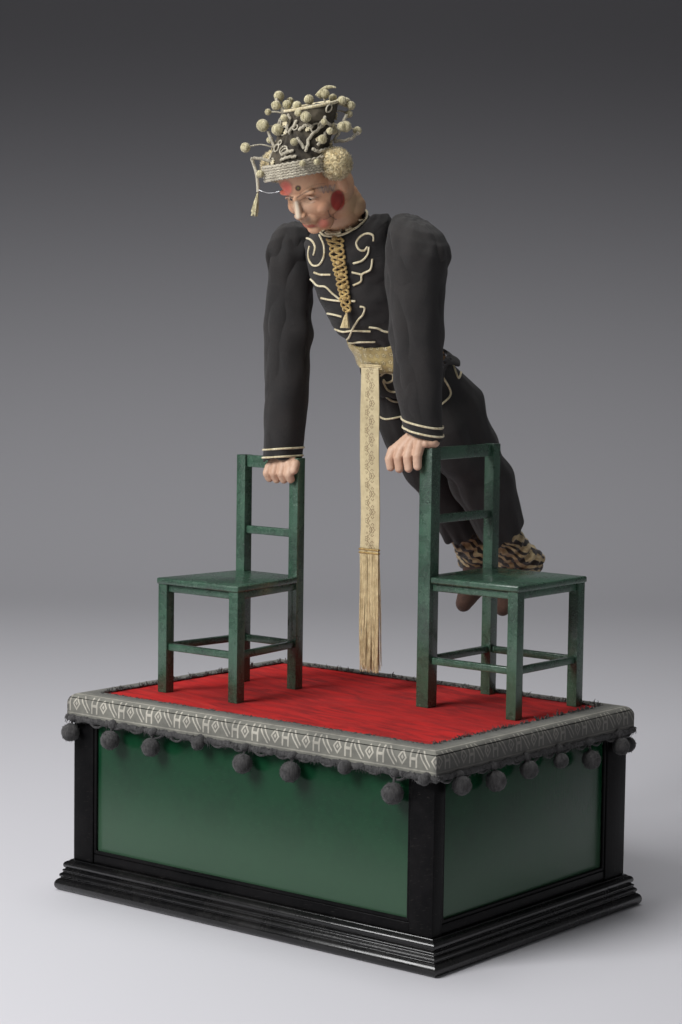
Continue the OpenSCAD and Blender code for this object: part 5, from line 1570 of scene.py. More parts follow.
@dataclass
class Costume:
    """The jacket, sleeves, trousers, shoes and everything sewn on them."""

    shop: Workshop
    braid_r: float = 1.0
    leg: tuple[float, float] = (24.0, 13.0)
    ankle_rings: tuple[tuple[float, float, float, float], ...] = (
        (0, -346, 16, 16), (1, -356, 17, 18), (2, -366, 18, 20), (4, -376, 18.5, 22), (6, -386, 18.5, 24),
        (8, -396, 18, 25), (10, -404, 16.5, 24), (12, -411, 13.5, 21))
    blouse: float = 9.0
    breast: float = 9.0
    yoke: float = 14.0
    seat: float = 7.0
    thigh: float = 12.0
    slope: tuple[float, float] = (7.0, 14.0)
    slant: tuple[float, float] = (0.26, -0.1)
    drop: tuple[float, float] = (0.0, 5.5)
    trim: tuple[float, float] = (0.0, 7.0)
    top_trim: tuple[float, float] = (0.0, 8.0)
    sleeve_x: tuple[float, float] = (57.0, -95.5)
    sleeve_y: float = 18.4
    cuff_x: tuple[float, float] = (62.0, -98.0)
    cuff_y: tuple[float, float] = (24.0, 18.4)
    cuff_z: tuple[float, float] = (434.0, 408.0)
    cord_threads: int = 46
    left_scrolls: tuple[tuple[Pixel, ...], ...] = (
        ((299.1, 248.6), (300.3, 242.5), (306.0, 238.7), (312.3, 241.0), (315.4, 247.7), (313.9, 254.7)),
        ((319.7, 235.1), (324.0, 245.1), (324.0, 256.3), (319.7, 264.4), (313.4, 265.4), (309.4, 259.7),
         (308.7, 252.3), (309.9, 246.5)),
        ((301.7, 250.3), (303.4, 260.6), (306.8, 267.5), (306.5, 274.4), (313.4, 281.3), (318.0, 285.6),
         (325.8, 286.8), (332.7, 293.3), (339.5, 298.8)))
    right_scrolls: tuple[tuple[Pixel, ...], ...] = (
        ((373.3, 241.3), (373.0, 235.5), (367.1, 233.7), (360.6, 236.8), (356.6, 243.0), (358.8, 249.1),
         (364.0, 250.6), (367.4, 246.5)),
        ((368.8, 246.8), (367.8, 254.1), (361.9, 260.6), (353.3, 263.2)),
        ((372.3, 258.9), (370.5, 269.2), (362.3, 274.0), (361.1, 281.3), (353.3, 285.2)),
        ((351.9, 272.0), (361.9, 274.4)))
    frogs: tuple[tuple[Pixel, ...], ...] = (
        ((314.6, 272.3), (320.6, 274.4), (330.9, 274.6)),
        ((321.5, 297.8), (329.2, 299.5), (341.3, 301.1)),
        ((349.0, 300.2), (355.4, 301.2)),
        ((327.8, 313.3), (335.2, 314.7), (342.1, 316.7)),
        ((332.7, 327.8), (343.0, 331.6), (353.3, 330.5), (370.5, 331.2)),
        ((368.8, 326.9), (377.4, 328.1), (384.3, 331.2), (395.0, 332.6)),
        ((345.7, 340.2), (349.0, 342.7), (360.2, 341.7), (375.2, 341.5)),
        ((347.5, 345.8), (349.9, 351.5), (354.4, 352.2), (356.1, 348.8), (353.3, 345.7)),
        ((356.8, 347.6), (362.8, 352.6), (372.3, 353.3), (384.3, 350.2), (396.4, 343.6)),
        ((359.9, 306.4), (364.7, 307.8), (363.0, 314.3), (358.5, 319.5), (353.3, 327.8), (348.5, 338.1),
         (341.3, 341.9)))
    hip_scrolls: tuple[tuple[Pixel, ...], ...] = (
        ((380.9, 375.6), (386.0, 372.2), (392.2, 374.3), (392.6, 380.1), (386.9, 382.5), (383.6, 379.1)),
        ((383.3, 380.8), (387.8, 389.4), (394.7, 391.8), (400.2, 388.7)),
        ((384.0, 394.9), (392.9, 401.1), (404.3, 402.0)),
        ((377.1, 413.9), (386.0, 419.0), (405.0, 415.6)),
        ((355.4, 370.8), (353.7, 376.3), (357.1, 382.2), (359.2, 377.0), (356.4, 371.2)),
        ((443.7, 351.9), (450.6, 358.8), (457.7, 377.7), (461.1, 370.8), (461.1, 360.5), (459.1, 355.7)),
        ((442.0, 376.0), (450.6, 393.2), (441.1, 404.6)))
    cord_spine: tuple[Pixel, ...] = (
        (336, 238), (338, 250), (340, 262), (342, 274), (344, 286), (346, 298), (348, 310))

    def build(self) -> None:
        """Makes each garment and its trimmings."""
        shop = self.shop
        to_trunk = TRUNK.inverted()

        def jacket_folds(p: Vector, normal: Vector) -> float:
            local = to_trunk @ (p * MM) / MM
            below = clamped((-local.z - 120) / 18)
            around = math.atan2(local.y, local.x)
            skirt = 0.7 * math.sin(local.x * 0.33 + 0.6 * math.sin(local.z * 0.1)) * below
            waist = 0.9 * math.sin(around * 17) * bump(local.z + 96, 14) * (1 - below)
            front = max(0.0, math.cos(around + math.radians(112)))
            tucked = clamped((local.z + 94) / 14)
            blouse = self.blouse * front * bump(local.z + 62, 38) * tucked
            away = local - Vector((-30, -22, -16))
            blouse += self.breast * bump(away.length, 30) * max(0.0, -normal.y)
            drape = 1.5 * math.sin(local.z * 0.16 + local.x * 0.09) * bump(local.z + 20, 30) * (1 - front)
            return skirt + waist + blouse + drape + creased(local, (0.03, 0.05, 0.05), 1.4)

        jacket = shop.tailored("jacket", "jacket_cloth", COTTON, 1.5, 5, jacket_folds)
        self.collar(jacket)
        self.raise_yoke(jacket, self.yoke)
        sleeves = [self.sleeve("carrying_sleeve", 0), self.sleeve("free_sleeve", 1)]

        def trouser_folds(p: Vector, normal: Vector) -> float:
            local = to_trunk @ (p * MM) / MM
            hem = 1.2 * math.sin(local.x * 0.5 + local.y * 0.3) * bump(local.z + 352, 14)
            seam = -0.8 * bump(abs(local.x) - 21, 1.6)
            back = max(0.0, local.y - 5) / 30
            seat = self.seat * min(1.0, back) * bump(local.z + 188, 42)
            knee = 2.0 * math.sin(local.z * 0.13 + local.x * 0.05) * bump(local.z + 270, 40)
            thigh = self.thigh * clamped(-local.y / 18) * bump(local.z + 214, 48)
            calf = 5.0 * min(1.0, back) * bump(local.z + 300, 60)
            return hem + seam + seat + knee + thigh + calf + creased(local, (0.05, 0.05, 0.016), 1.8)

        trousers = shop.tailored("trousers", "trouser_cloth", COTTON, 1.8, 5, trouser_folds)
        self.leggings()
        shop.tailored("slippers", "cloth_slippers", SLIPPER, 1.0, 4,
                      lambda p, normal: creased(p, (0.09, 0.09, 0.09), 0.5))
        self.soutache(jacket, trousers)
        self.front_cord(jacket)
        for k, sleeve in enumerate(sleeves):
            self.cuff(sleeve, k)

    def raise_yoke(self, obj: bpy.types.Object, height: float) -> None:
        """Lifts the shoulder beside the carrying sleeve, where the photograph shows a high seam.

        Args:
            obj: The garment.
            height: How far it is lifted, in millimetres.
        """
        for vertex in obj.data.vertices:
            p = vertex.co / MM
            inner = clamped((p.x - 4) / 16)
            outer = clamped((64 - p.x) / 26)
            high = clamped((p.z - 582) / 26)
            vertex.co.z += height * inner * outer * high * MM

    def leggings(self) -> None:
        """Wraps each ankle and heel in full, creased tiger cloth."""
        lumps = []
        for side in (-1, 1):
            for step, (y, z, wide, deep) in enumerate(self.ankle_rings):
                place = TRUNK @ at(side * self.leg[0], self.leg[1] + y, z) / MM
                lump = ball(Vector((0, 0, 0)), (wide, deep, 9), detail=4)
                turn = Matrix.Rotation(TRUNK_LEAN, 4, "X") @ Matrix.Rotation(0.4 * step, 4, "Z")
                lumps.append(transformed(lump, Matrix.Translation(place * MM) @ turn))
        obj = fused("striped_leggings", lumps, 1.1, 4)
        folded(obj, lambda p, normal: creased(p, (0.1, 0.1, 0.07), 1.6))
        self.shop.piece(obj, TigerCloth(), self.shop.body_of("leggings"), "leggings")

    def sleeve(self, node: str, side: int) -> bpy.types.Object:
        """Makes one sleeve, gathered at the shoulder and creased down the arm.

        Args:
            node: The node that it stands for.
            side: 0 for the carrying arm and 1 for the free one.

        Returns:
            The sleeve.
        """
        centre_x = self.sleeve_x[side]
        sign = -1 if side else 1

        def folds(p: Vector, normal: Vector) -> float:
            around = math.atan2(p.y - self.sleeve_y, (p.x - centre_x) * sign)
            crown = clamped((p.z - 575) / 40)
            gathers = 1.5 * math.sin(around * 9 + 0.8 * math.sin(p.z * 0.08)) * crown * (1.3 - crown)
            bend = 0.5 - 0.5 * math.cos(around + 1)
            elbow = 2.2 * math.sin((p.z + 12 * math.cos(around)) * 0.15) * bump(p.z - 520, 26) * bend
            pulled = 2.0 * math.sin((p.z + 20 * around) * 0.1) * bump(p.z - 590, 26)
            long_fold = 2.0 * math.sin(around * 2.5 + p.z * 0.017) * bump(p.z - 535, 80)
            hem = 0.6 * math.sin(around * 5) * bump(p.z - self.cuff_z[side], 9)
            return gathers + elbow + pulled + long_fold + hem + creased(p, (0.035, 0.035, 0.02), 1.8)

        obj = self.shop.tailored(node, node + "_cloth", COTTON, 1.4, 5, folds)
        for vertex in obj.data.vertices:
            out = max(0.0, (vertex.co.x / MM - centre_x) * sign / 30 + 0.35)
            high = clamped((vertex.co.z / MM - 560) / 55)
            low = clamped((self.cuff_z[side] + 60 - vertex.co.z / MM) / 50)
            vertex.co.z -= self.slope[side] * out * high * high * MM
            vertex.co.z -= self.slant[side] * low * (vertex.co.x - centre_x * MM)
            vertex.co.z -= self.drop[side] * low * MM
            outer = clamped((vertex.co.x / MM - centre_x) * sign / 24)
            upper = clamped((vertex.co.z / MM - 530) / 50)
            vertex.co.x -= sign * outer * (self.trim[side] + self.top_trim[side] * upper) * MM
        if not side:
            self.raise_yoke(obj, self.yoke / 2)
        return obj

    def soutache(self, jacket: bpy.types.Object, trousers: bpy.types.Object) -> None:
        """Sews the cream braid scrolls and bars on the jacket and the hips."""
        shop = self.shop
        chest = Surface(jacket)
        lines = [shop.traced(chest, line, self.braid_r * 0.5) for line in
                 (*self.left_scrolls, *self.right_scrolls, *self.frogs)]
        obj = tube("jacket_soutache", [line for line in lines if len(line) > 2], self.braid_r, 8)
        shop.piece(obj, SOUTACHE, "trunk")
        legs = Surface(trousers)
        hips = []
        thighs = []
        for line in self.hip_scrolls:
            on_skirt = shop.traced(chest, line, self.braid_r * 0.5)
            if len(on_skirt) > 12:
                hips.append(on_skirt)
            else:
                thighs.append(shop.traced(legs, line, self.braid_r * 0.5))
        if hips:
            shop.piece(tube("skirt_soutache", hips, self.braid_r, 8), SOUTACHE, "trunk")
        thighs = [line for line in thighs if len(line) > 2]
        if thighs:
            body = shop.body_of("trousers")
            shop.piece(tube("trouser_soutache", thighs, self.braid_r, 8), SOUTACHE, body)

    def front_cord(self, jacket: bpy.types.Object) -> None:
        """Lays the knotted gold cord down the chest and ends it in a tassel."""
        shop = self.shop
        chest = Surface(jacket)
        strands = []
        for turn in range(3):
            pixels = []
            for k, spine in enumerate(flowing(self.cord_spine, 6)):
                swing = (7.5 - 0.1 * k) * math.sin(k * 0.85 + turn * 2.1)
                pixels.append((spine.x + swing, spine.y))
            strands.append(shop.traced(chest, pixels, 1.2 + 0.9 * turn, 3))
        shop.piece(tube("front_cord", strands, 1.15, 8), GOLD_CORD, "trunk")
        knots = []
        for u, v in self.cord_spine[:-1]:
            place = chest.seen(*shop.photograph.sight((u, v)), 1.8)
            if place is not None:
                knots.append(ball(place, (3.4, 3.4, 2.8), detail=2))
        end = chest.seen(*shop.photograph.sight(self.cord_spine[-1]), 2.5)
        draw = random.Random(4)
        threads = []
        for _ in range(self.cord_threads):
            spread = Vector((draw.uniform(-2.2, 2.2), draw.uniform(-1.6, 0.6), 0))
            threads.append([end, end + spread + Vector((0, -1, -6)),
                            end + spread * 2.1 + Vector((0, -1.5, -15))])
        shop.piece(fused("cord_knots", knots, 0.6, 2), GOLD_CORD, "trunk")
        shop.piece(tube("cord_tassel", threads, 0.42, 4), SILK, "trunk")

    def cuff(self, sleeve: bpy.types.Object, side: int) -> None:
        """Sews two rings of cream braid round a cuff."""
        shop = self.shop
        surface = Surface(sleeve)
        low = self.cuff_z[side] - self.drop[side]
        rings = []
        for height in (3.0, 10.5):
            centre = Vector((self.cuff_x[side], self.cuff_y[side], low + height))
            across = Vector((1, 0, -self.slant[side])).normalized()
            rings.append(surface.ring(centre, across, Vector((0, 1, 0)), 0.4))
        body = shop.body_of(("carrying_sleeve", "free_sleeve")[side])
        name = ("carrying", "free")[side] + "_cuff_braid"
        shop.piece(tube(name, rings, 1.0, 8, closed=True), SOUTACHE, body)

    def collar(self, jacket: bpy.types.Object) -> None:
        """Edges the collar with two rings of gold-green braid."""
        surface = Surface(jacket)
        turn = TRUNK.to_3x3()
        rings = []
        for height, lift in ((25.5, 0.4), (23.8, 1.2)):
            centre = TRUNK @ at(0, 5, height) / MM
            rings.append(surface.ring(centre, turn @ Vector((1, 0, 0)), turn @ Vector((0, 1, 0)), lift, 48))
        self.shop.piece(tube("collar_braid", rings, 1.1, 8, closed=True), SOUTACHE, "trunk")


@dataclass
class Belt:
    """The brocade belt and the sash that hangs from it."""

    shop: Workshop
    thread_count: int = 240
    inner: tuple[float, float] = (44.6, 30.4)
    thick: float = 1.6
    around: int = 160
    rows: int = 14
    low: float = -123.0
    high: float = -93.0
    bar: tuple[float, float, float] = (-23.0, 55.7, 491.6)
    sash_w: float = 23.0
    sash_l: float = 174.0
    sash_t: float = 0.8
    silk_l: float = 116.0
    aside: float = 2.6

    def build(self) -> None:
        """Makes the belt, its loop, the sash and its silk fringe."""
        self.band()
        self.sash()
        self.fringe()

    def band(self) -> None:
        """Wraps the belt round the waist, its edges rolled and its face a little creased."""
        low = self.low
        high = self.high
        jacket = Surface(bpy.data.objects["jacket_cloth"])
        turn = TRUNK.to_3x3()
        rows = []
        for k in range(self.rows + 1):
            height = low + (high - low) * k / self.rows
            centre = TRUNK @ at(0, 0, height) / MM
            ring = jacket.ring(centre, turn @ Vector((1, 0, 0)), turn @ Vector((0, 1, 0)), 0.0, self.around)
            rows.append([((p - centre).length, (p - centre).normalized()) for p in ring])

        def shape(u: float, v: float) -> Vector:
            a = math.tau * u
            k = round(u * self.around) % self.around
            row = rows[round(v * self.rows)]
            reach = sum(row[(k + j) % self.around][0] for j in (-2, -1, 0, 1, 2)) / 5
            swell = self.thick * (0.75 + 0.45 * math.sin(math.pi * min(max(v, 0.02), 0.98)))
            crease = 0.5 * noise.noise(Vector((math.cos(a) * 4, math.sin(a) * 4, v * 3)))
            edge = 0.4 * (bump(v - 0.06, 0.05) + bump(v - 0.94, 0.05))
            centre = TRUNK @ at(0, 0, low + (high - low) * v) / MM
            return centre + row[k][1] * (reach + swell + crease + edge)

        obj = shaped_grid("belt_band", self.around, self.rows, shape)
        scaled_map(obj, math.tau * (self.inner[0] + self.inner[1]) / 2, high - low)
        modified(obj, "SOLIDIFY", thickness=self.thick * 0.9 * MM, offset=-1)
        self.shop.piece(obj, Brocade(), "trunk", "belt")
        loop = []
        for k in range(5):
            y = self.bar[1] - 1.5 + 0.3 * k
            x0 = self.bar[0] - self.sash_w / 2 - 1 + k * 0.2
            z = self.bar[2] + 1.8 * math.sin(k)
            loop.append([Vector((x0, y, z)), Vector((self.bar[0], y - 1.6, z + 0.6)),
                         Vector((x0 + self.sash_w + 2, y, z))])
        self.shop.piece(tube("sash_gathering", loop, 0.8, 8), SILK, "trunk")

    def sash(self) -> None:
        """Hangs the sash with two soft lengthwise folds."""
        x0, y0, z0 = self.bar

        def shape(u: float, v: float) -> Vector:
            down = (1 - v) * self.sash_l
            pinch = 0.9 + 0.1 * min(1.0, down / 40)
            x = x0 + (u - 0.5) * self.sash_w * pinch
            wave = 0.8 * math.sin(u * math.tau * 1.5 + 0.5) * (0.4 + 0.6 * min(1.0, down / 60))
            sway = 0.7 * math.sin(down * 0.045)
            share = down / self.sash_l
            aside = 1.3 * (1 - math.cos(math.pi * share)) - 1.2 * math.sin(down * 0.04) * share
            return Vector((x + aside, y0 - 2.2 + wave + sway, z0 - down))

        obj = shaped_grid("hanging_sash", 16, 80, shape)
        scaled_map(obj, self.sash_w, self.sash_l)
        modified(obj, "SOLIDIFY", thickness=self.sash_t * MM, offset=0)
        self.shop.piece(obj, VineSilk(), "sash", "sash")

    def fringe(self) -> None:
        """Hangs the silk threads in two layers, with a knotted heading."""
        draw = random.Random(21)
        x0, y0, z0 = self.bar
        x0 += self.aside
        top = z0 - self.sash_l + 1.5
        threads = []
        for k in range(self.thread_count):
            share = draw.random()
            x = x0 + (share - 0.5) * (self.sash_w - 1.5)
            layer = draw.choice((-1.4, 0.0, 1.4))
            length = self.silk_l - draw.uniform(0, 7) - (3 if layer > 0 else 0)
            drift = 2.6 + draw.uniform(-1.8, 1.8) + (share - 0.5) * 2
            path = []
            for step in range(9):
                t = step / 8
                clump = 1.1 * math.sin(share * math.tau * 3) * t
                curl = 0.5 * math.sin(t * 7 + k)
                path.append(Vector((x + (drift + clump) * t + curl * t,
                                    y0 - 2.0 + layer * (0.6 + t) + curl * 0.6 * t, top - length * t)))
            threads.append(path)
        silk = tube("silk_fringe", threads, 0.42, 4, taper=lambda share: 1.1 - 0.5 * share)
        self.shop.piece(silk, SILK, "sash", "sash_tassels")
        heading = [[Vector((x0 - self.sash_w / 2, y0 - 2.3 + side, top - drop)),
                    Vector((x0 + self.sash_w / 2, y0 - 2.3 + side, top - drop))]
                   for side in (-1.0, 1.0) for drop in (-1.0, 2.2)]
        self.shop.piece(tube("fringe_heading", heading, 0.9, 8), GOLD_CORD, "sash")


@dataclass(frozen=True)
class Grip:
    """How one hand holds its chair: places in millimetres, finger by finger from the left."""

    node: str
    wrist: tuple[float, float, float]
    wrist_r: float
    heel: tuple[float, float, float]
    heel_radii: tuple[float, float, float]
    knuckles: tuple[tuple[float, float, float], ...]
    middles: tuple[tuple[float, float, float], ...]
    tips: tuple[tuple[float, float, float], ...]
    thumb: tuple[tuple[float, float, float], ...]
    finger_r: float


CARRYING = Grip(
    "carrying_hand", (61, 22.5, 438), 9.5, (72, 22, 427), (9, 8.5, 6),
    ((36, 14, 417.5), (46.5, 13.6, 420.5), (57, 13.6, 423), (67, 13.8, 426)),
    ((34.6, 10.8, 410), (45, 10.2, 411.5), (55.6, 10.2, 413), (66, 10.6, 415)),
    ((35.4, 11.6, 403), (45.6, 11.2, 402), (56, 11.2, 403), (66, 11.4, 405.5)),
    ((66, 20, 432), (72, 15, 426)), 4.75)
FREE = Grip(
    "free_hand", (-97, 17.5, 411), 9.5, (-93.5, 14, 403.5), (14, 7.5, 6.5),
    ((-107, 8.8, 395), (-98.2, 8.2, 396.6), (-89.4, 8.2, 396.6), (-80.8, 8.6, 395.4)),
    ((-107.6, 6.2, 389.6), (-98.6, 5.4, 390.2), (-89.6, 5.4, 390.4), (-80.8, 6.0, 390.2)),
    ((-107, 8.8, 384.9), (-98.2, 8.8, 384.2), (-89.4, 8.8, 384.4), (-80.8, 9.0, 385.2)),
    ((-78, 12, 400), (-76, 8, 394)), 4.6)


@dataclass
class Hands:
    """The painted hands with their modelled fingers."""

    shop: Workshop
    grips: tuple[Grip, ...] = (CARRYING, FREE)

    def build(self) -> None:
        """Builds each hand up from lumps, as modelled in composition."""
        for grip in self.grips:
            lumps = [ball(Vector(grip.wrist), grip.wrist_r), ball(Vector(grip.heel), grip.heel_radii)]
            for knuckle, middle, tip in zip(grip.knuckles, grip.middles, grip.tips):
                lumps += self.limb((grip.wrist, knuckle), (grip.wrist_r * 0.7, grip.finger_r * 1.12), 9)
                sizes = (grip.finger_r * 1.14, grip.finger_r, grip.finger_r * 0.88)
                lumps += self.limb((knuckle, middle, tip), sizes, 6)
            lumps += self.limb(grip.thumb, (grip.finger_r, grip.finger_r * 0.85), 6)
            obj = fused(grip.node + "_modelled", lumps, 0.7, 4)
            folded(obj, lambda p, normal: creased(p, (0.12, 0.12, 0.09), 0.25))
            self.shop.piece(obj, FLESH, self.shop.body_of(grip.node), grip.node)

    @staticmethod
    def limb(joints: Sequence[Sequence[float]], radii: Sequence[float], steps: int) -> list[bpy.types.Object]:
        """Lays lumps along a finger.

        Args:
            joints: The joints' places in millimetres.
            radii: The radius at each joint.
            steps: How many lumps lie between two joints.

        Returns:
            The lumps.
        """
        lumps = []
        for k in range(len(joints) - 1):
            for step in range(steps):
                t = step / (steps - 1)
                place = Vector(joints[k]).lerp(Vector(joints[k + 1]), t)
                lumps.append(ball(place, radii[k] * (1 - t) + radii[k + 1] * t, detail=2))
        return lumps


@dataclass(frozen=True)
class Stroke:
    """One touch of colour on the face: a line, or a patch round its one point, in the photograph's pixels.
    Most are make-up; some are painted highlights and painted shade.
    """

    colour: Colour
    points: tuple[Pixel, ...]
    size: tuple[float, float]
    soft: float = 0.5
    strength: float = 1.0
    both: bool = True

    def covers(self, spot: Vector, line: Sequence[Vector]) -> float:
        """Returns how much of the paint is on a spot: 1 inside, 0 or less well outside."""
        if len(self.points) == 1:
            away = spot - Vector(self.points[0])
            far = Vector((away.x / self.size[0], away.y / self.size[1])).length - 1
            return 0.5 - far * min(self.size) / (2 * self.soft)
        near = min((spot - q).length for q in line)
        return 0.5 + (self.size[0] - near) / (2 * self.soft)


BROWN = paint_colour(84, 56, 42)
BLACK = paint_colour(48, 34, 36)
VIOLET = paint_colour(96, 84, 124)
FACE_MAKEUP_AND_PAINTED_LIGHT = (
    # Painted highlight: a pale yellow patch on the side of the neck.
    Stroke(paint_colour(208, 192, 146), ((357, 206),), (11, 14), 6, 0.5),
    # Painted shade: a brown patch under the jaw.
    Stroke(paint_colour(150, 112, 82), ((345, 226),), (12, 6), 5, 0.4),
    Stroke(paint_colour(232, 158, 134), ((331, 214),), (11, 10), 6, 0.35),
    Stroke(paint_colour(236, 206, 178), ((306, 208),), (7, 9), 5, 0.5),
    Stroke(paint_colour(128, 96, 70), ((310, 199),), (9, 4), 3, 0.35),
    Stroke(paint_colour(168, 66, 58), ((337.7, 200.4),), (7.2, 10.6), 0.7),
    Stroke(paint_colour(204, 100, 84), ((323, 223.6),), (6.2, 5.2), 2.0, 0.75),
    # Painted shade: a brown band under the nose, above the lips.
    Stroke(paint_colour(120, 92, 64), ((310.5, 222.4),), (6, 1.8), 1.2, 0.5),
    Stroke(paint_colour(180, 78, 70), ((311.5, 226.2),), (5.6, 1.7), 0.8, 0.85),
    Stroke(paint_colour(236, 224, 200), ((321, 189), (327, 188.8), (333, 188.2)), (3.0, 0), 1.6, 0.5),
    Stroke(BROWN, ((297.3, 197.5), (305.4, 192.4), (314.2, 188.9), (323, 187.4)), (0.7, 0), 0.5, 0.9),
    Stroke(BROWN, ((300, 193.4), (308, 187.6), (318, 184.2), (325, 183.6)), (0.4, 0), 0.6, 0.45),
    Stroke(BLACK, ((300, 200.5), (305, 198), (311, 196.8), (318, 197.8)), (0.4, 0), 0.4, 0.8),
    Stroke(BROWN, ((304, 201.6), (309, 203), (315, 202.2)), (0.3, 0), 0.5, 0.6),
    Stroke(VIOLET, ((321.5, 186.5), (323.7, 193), (325.4, 186), (328, 192.4), (330, 185.4), (332.4, 190.8),
                    (335, 184.6)), (0.45, 0), 0.4, 0.9),
    Stroke(BLACK, ((328.1, 210.7), (330.3, 215.8), (336.2, 219.5)), (0.5, 0), 0.4),
    Stroke(BLACK, ((330.3, 216.4), (327, 218.6), (323.5, 219.5)), (0.4, 0), 0.4, 0.8),
    # Painted shade: a brown line down the side of the nose, and a soft patch beside its tip.
    Stroke(BROWN, ((300.5, 203), (302.4, 210), (300.8, 217), (303.6, 220.8)), (0.6, 0), 0.8, 0.75),
    Stroke(paint_colour(140, 120, 96), ((307.5, 219.4),), (4.4, 2.4), 1.6, 0.6),
    # Painted highlight: a pale strip down the ridge of the nose.
    Stroke(paint_colour(236, 228, 206), ((296.4, 203), (297.2, 210), (297.6, 217)), (2.6, 0), 1.4,
           0.75, False),
    Stroke(paint_colour(232, 122, 100), ((285.4, 188.6),), (7.2, 8.2), 1.6, 0.9, False),
    Stroke(paint_colour(214, 84, 72), ((286.4, 188.2),), (3.2, 4.2), 1.6, 0.6, False),
    Stroke(BLACK, ((298.1, 188.2),), (2.9, 2.8), 0.6, 0.95, False),
    Stroke(paint_colour(132, 124, 66), ((298.1, 188.2),), (1.3, 1.3), 0.5, 0.9, False),
    Stroke(BROWN, ((287.6, 195.8), (290.4, 197.4), (293, 197.2)), (0.6, 0), 0.5, 0.9, False),
)


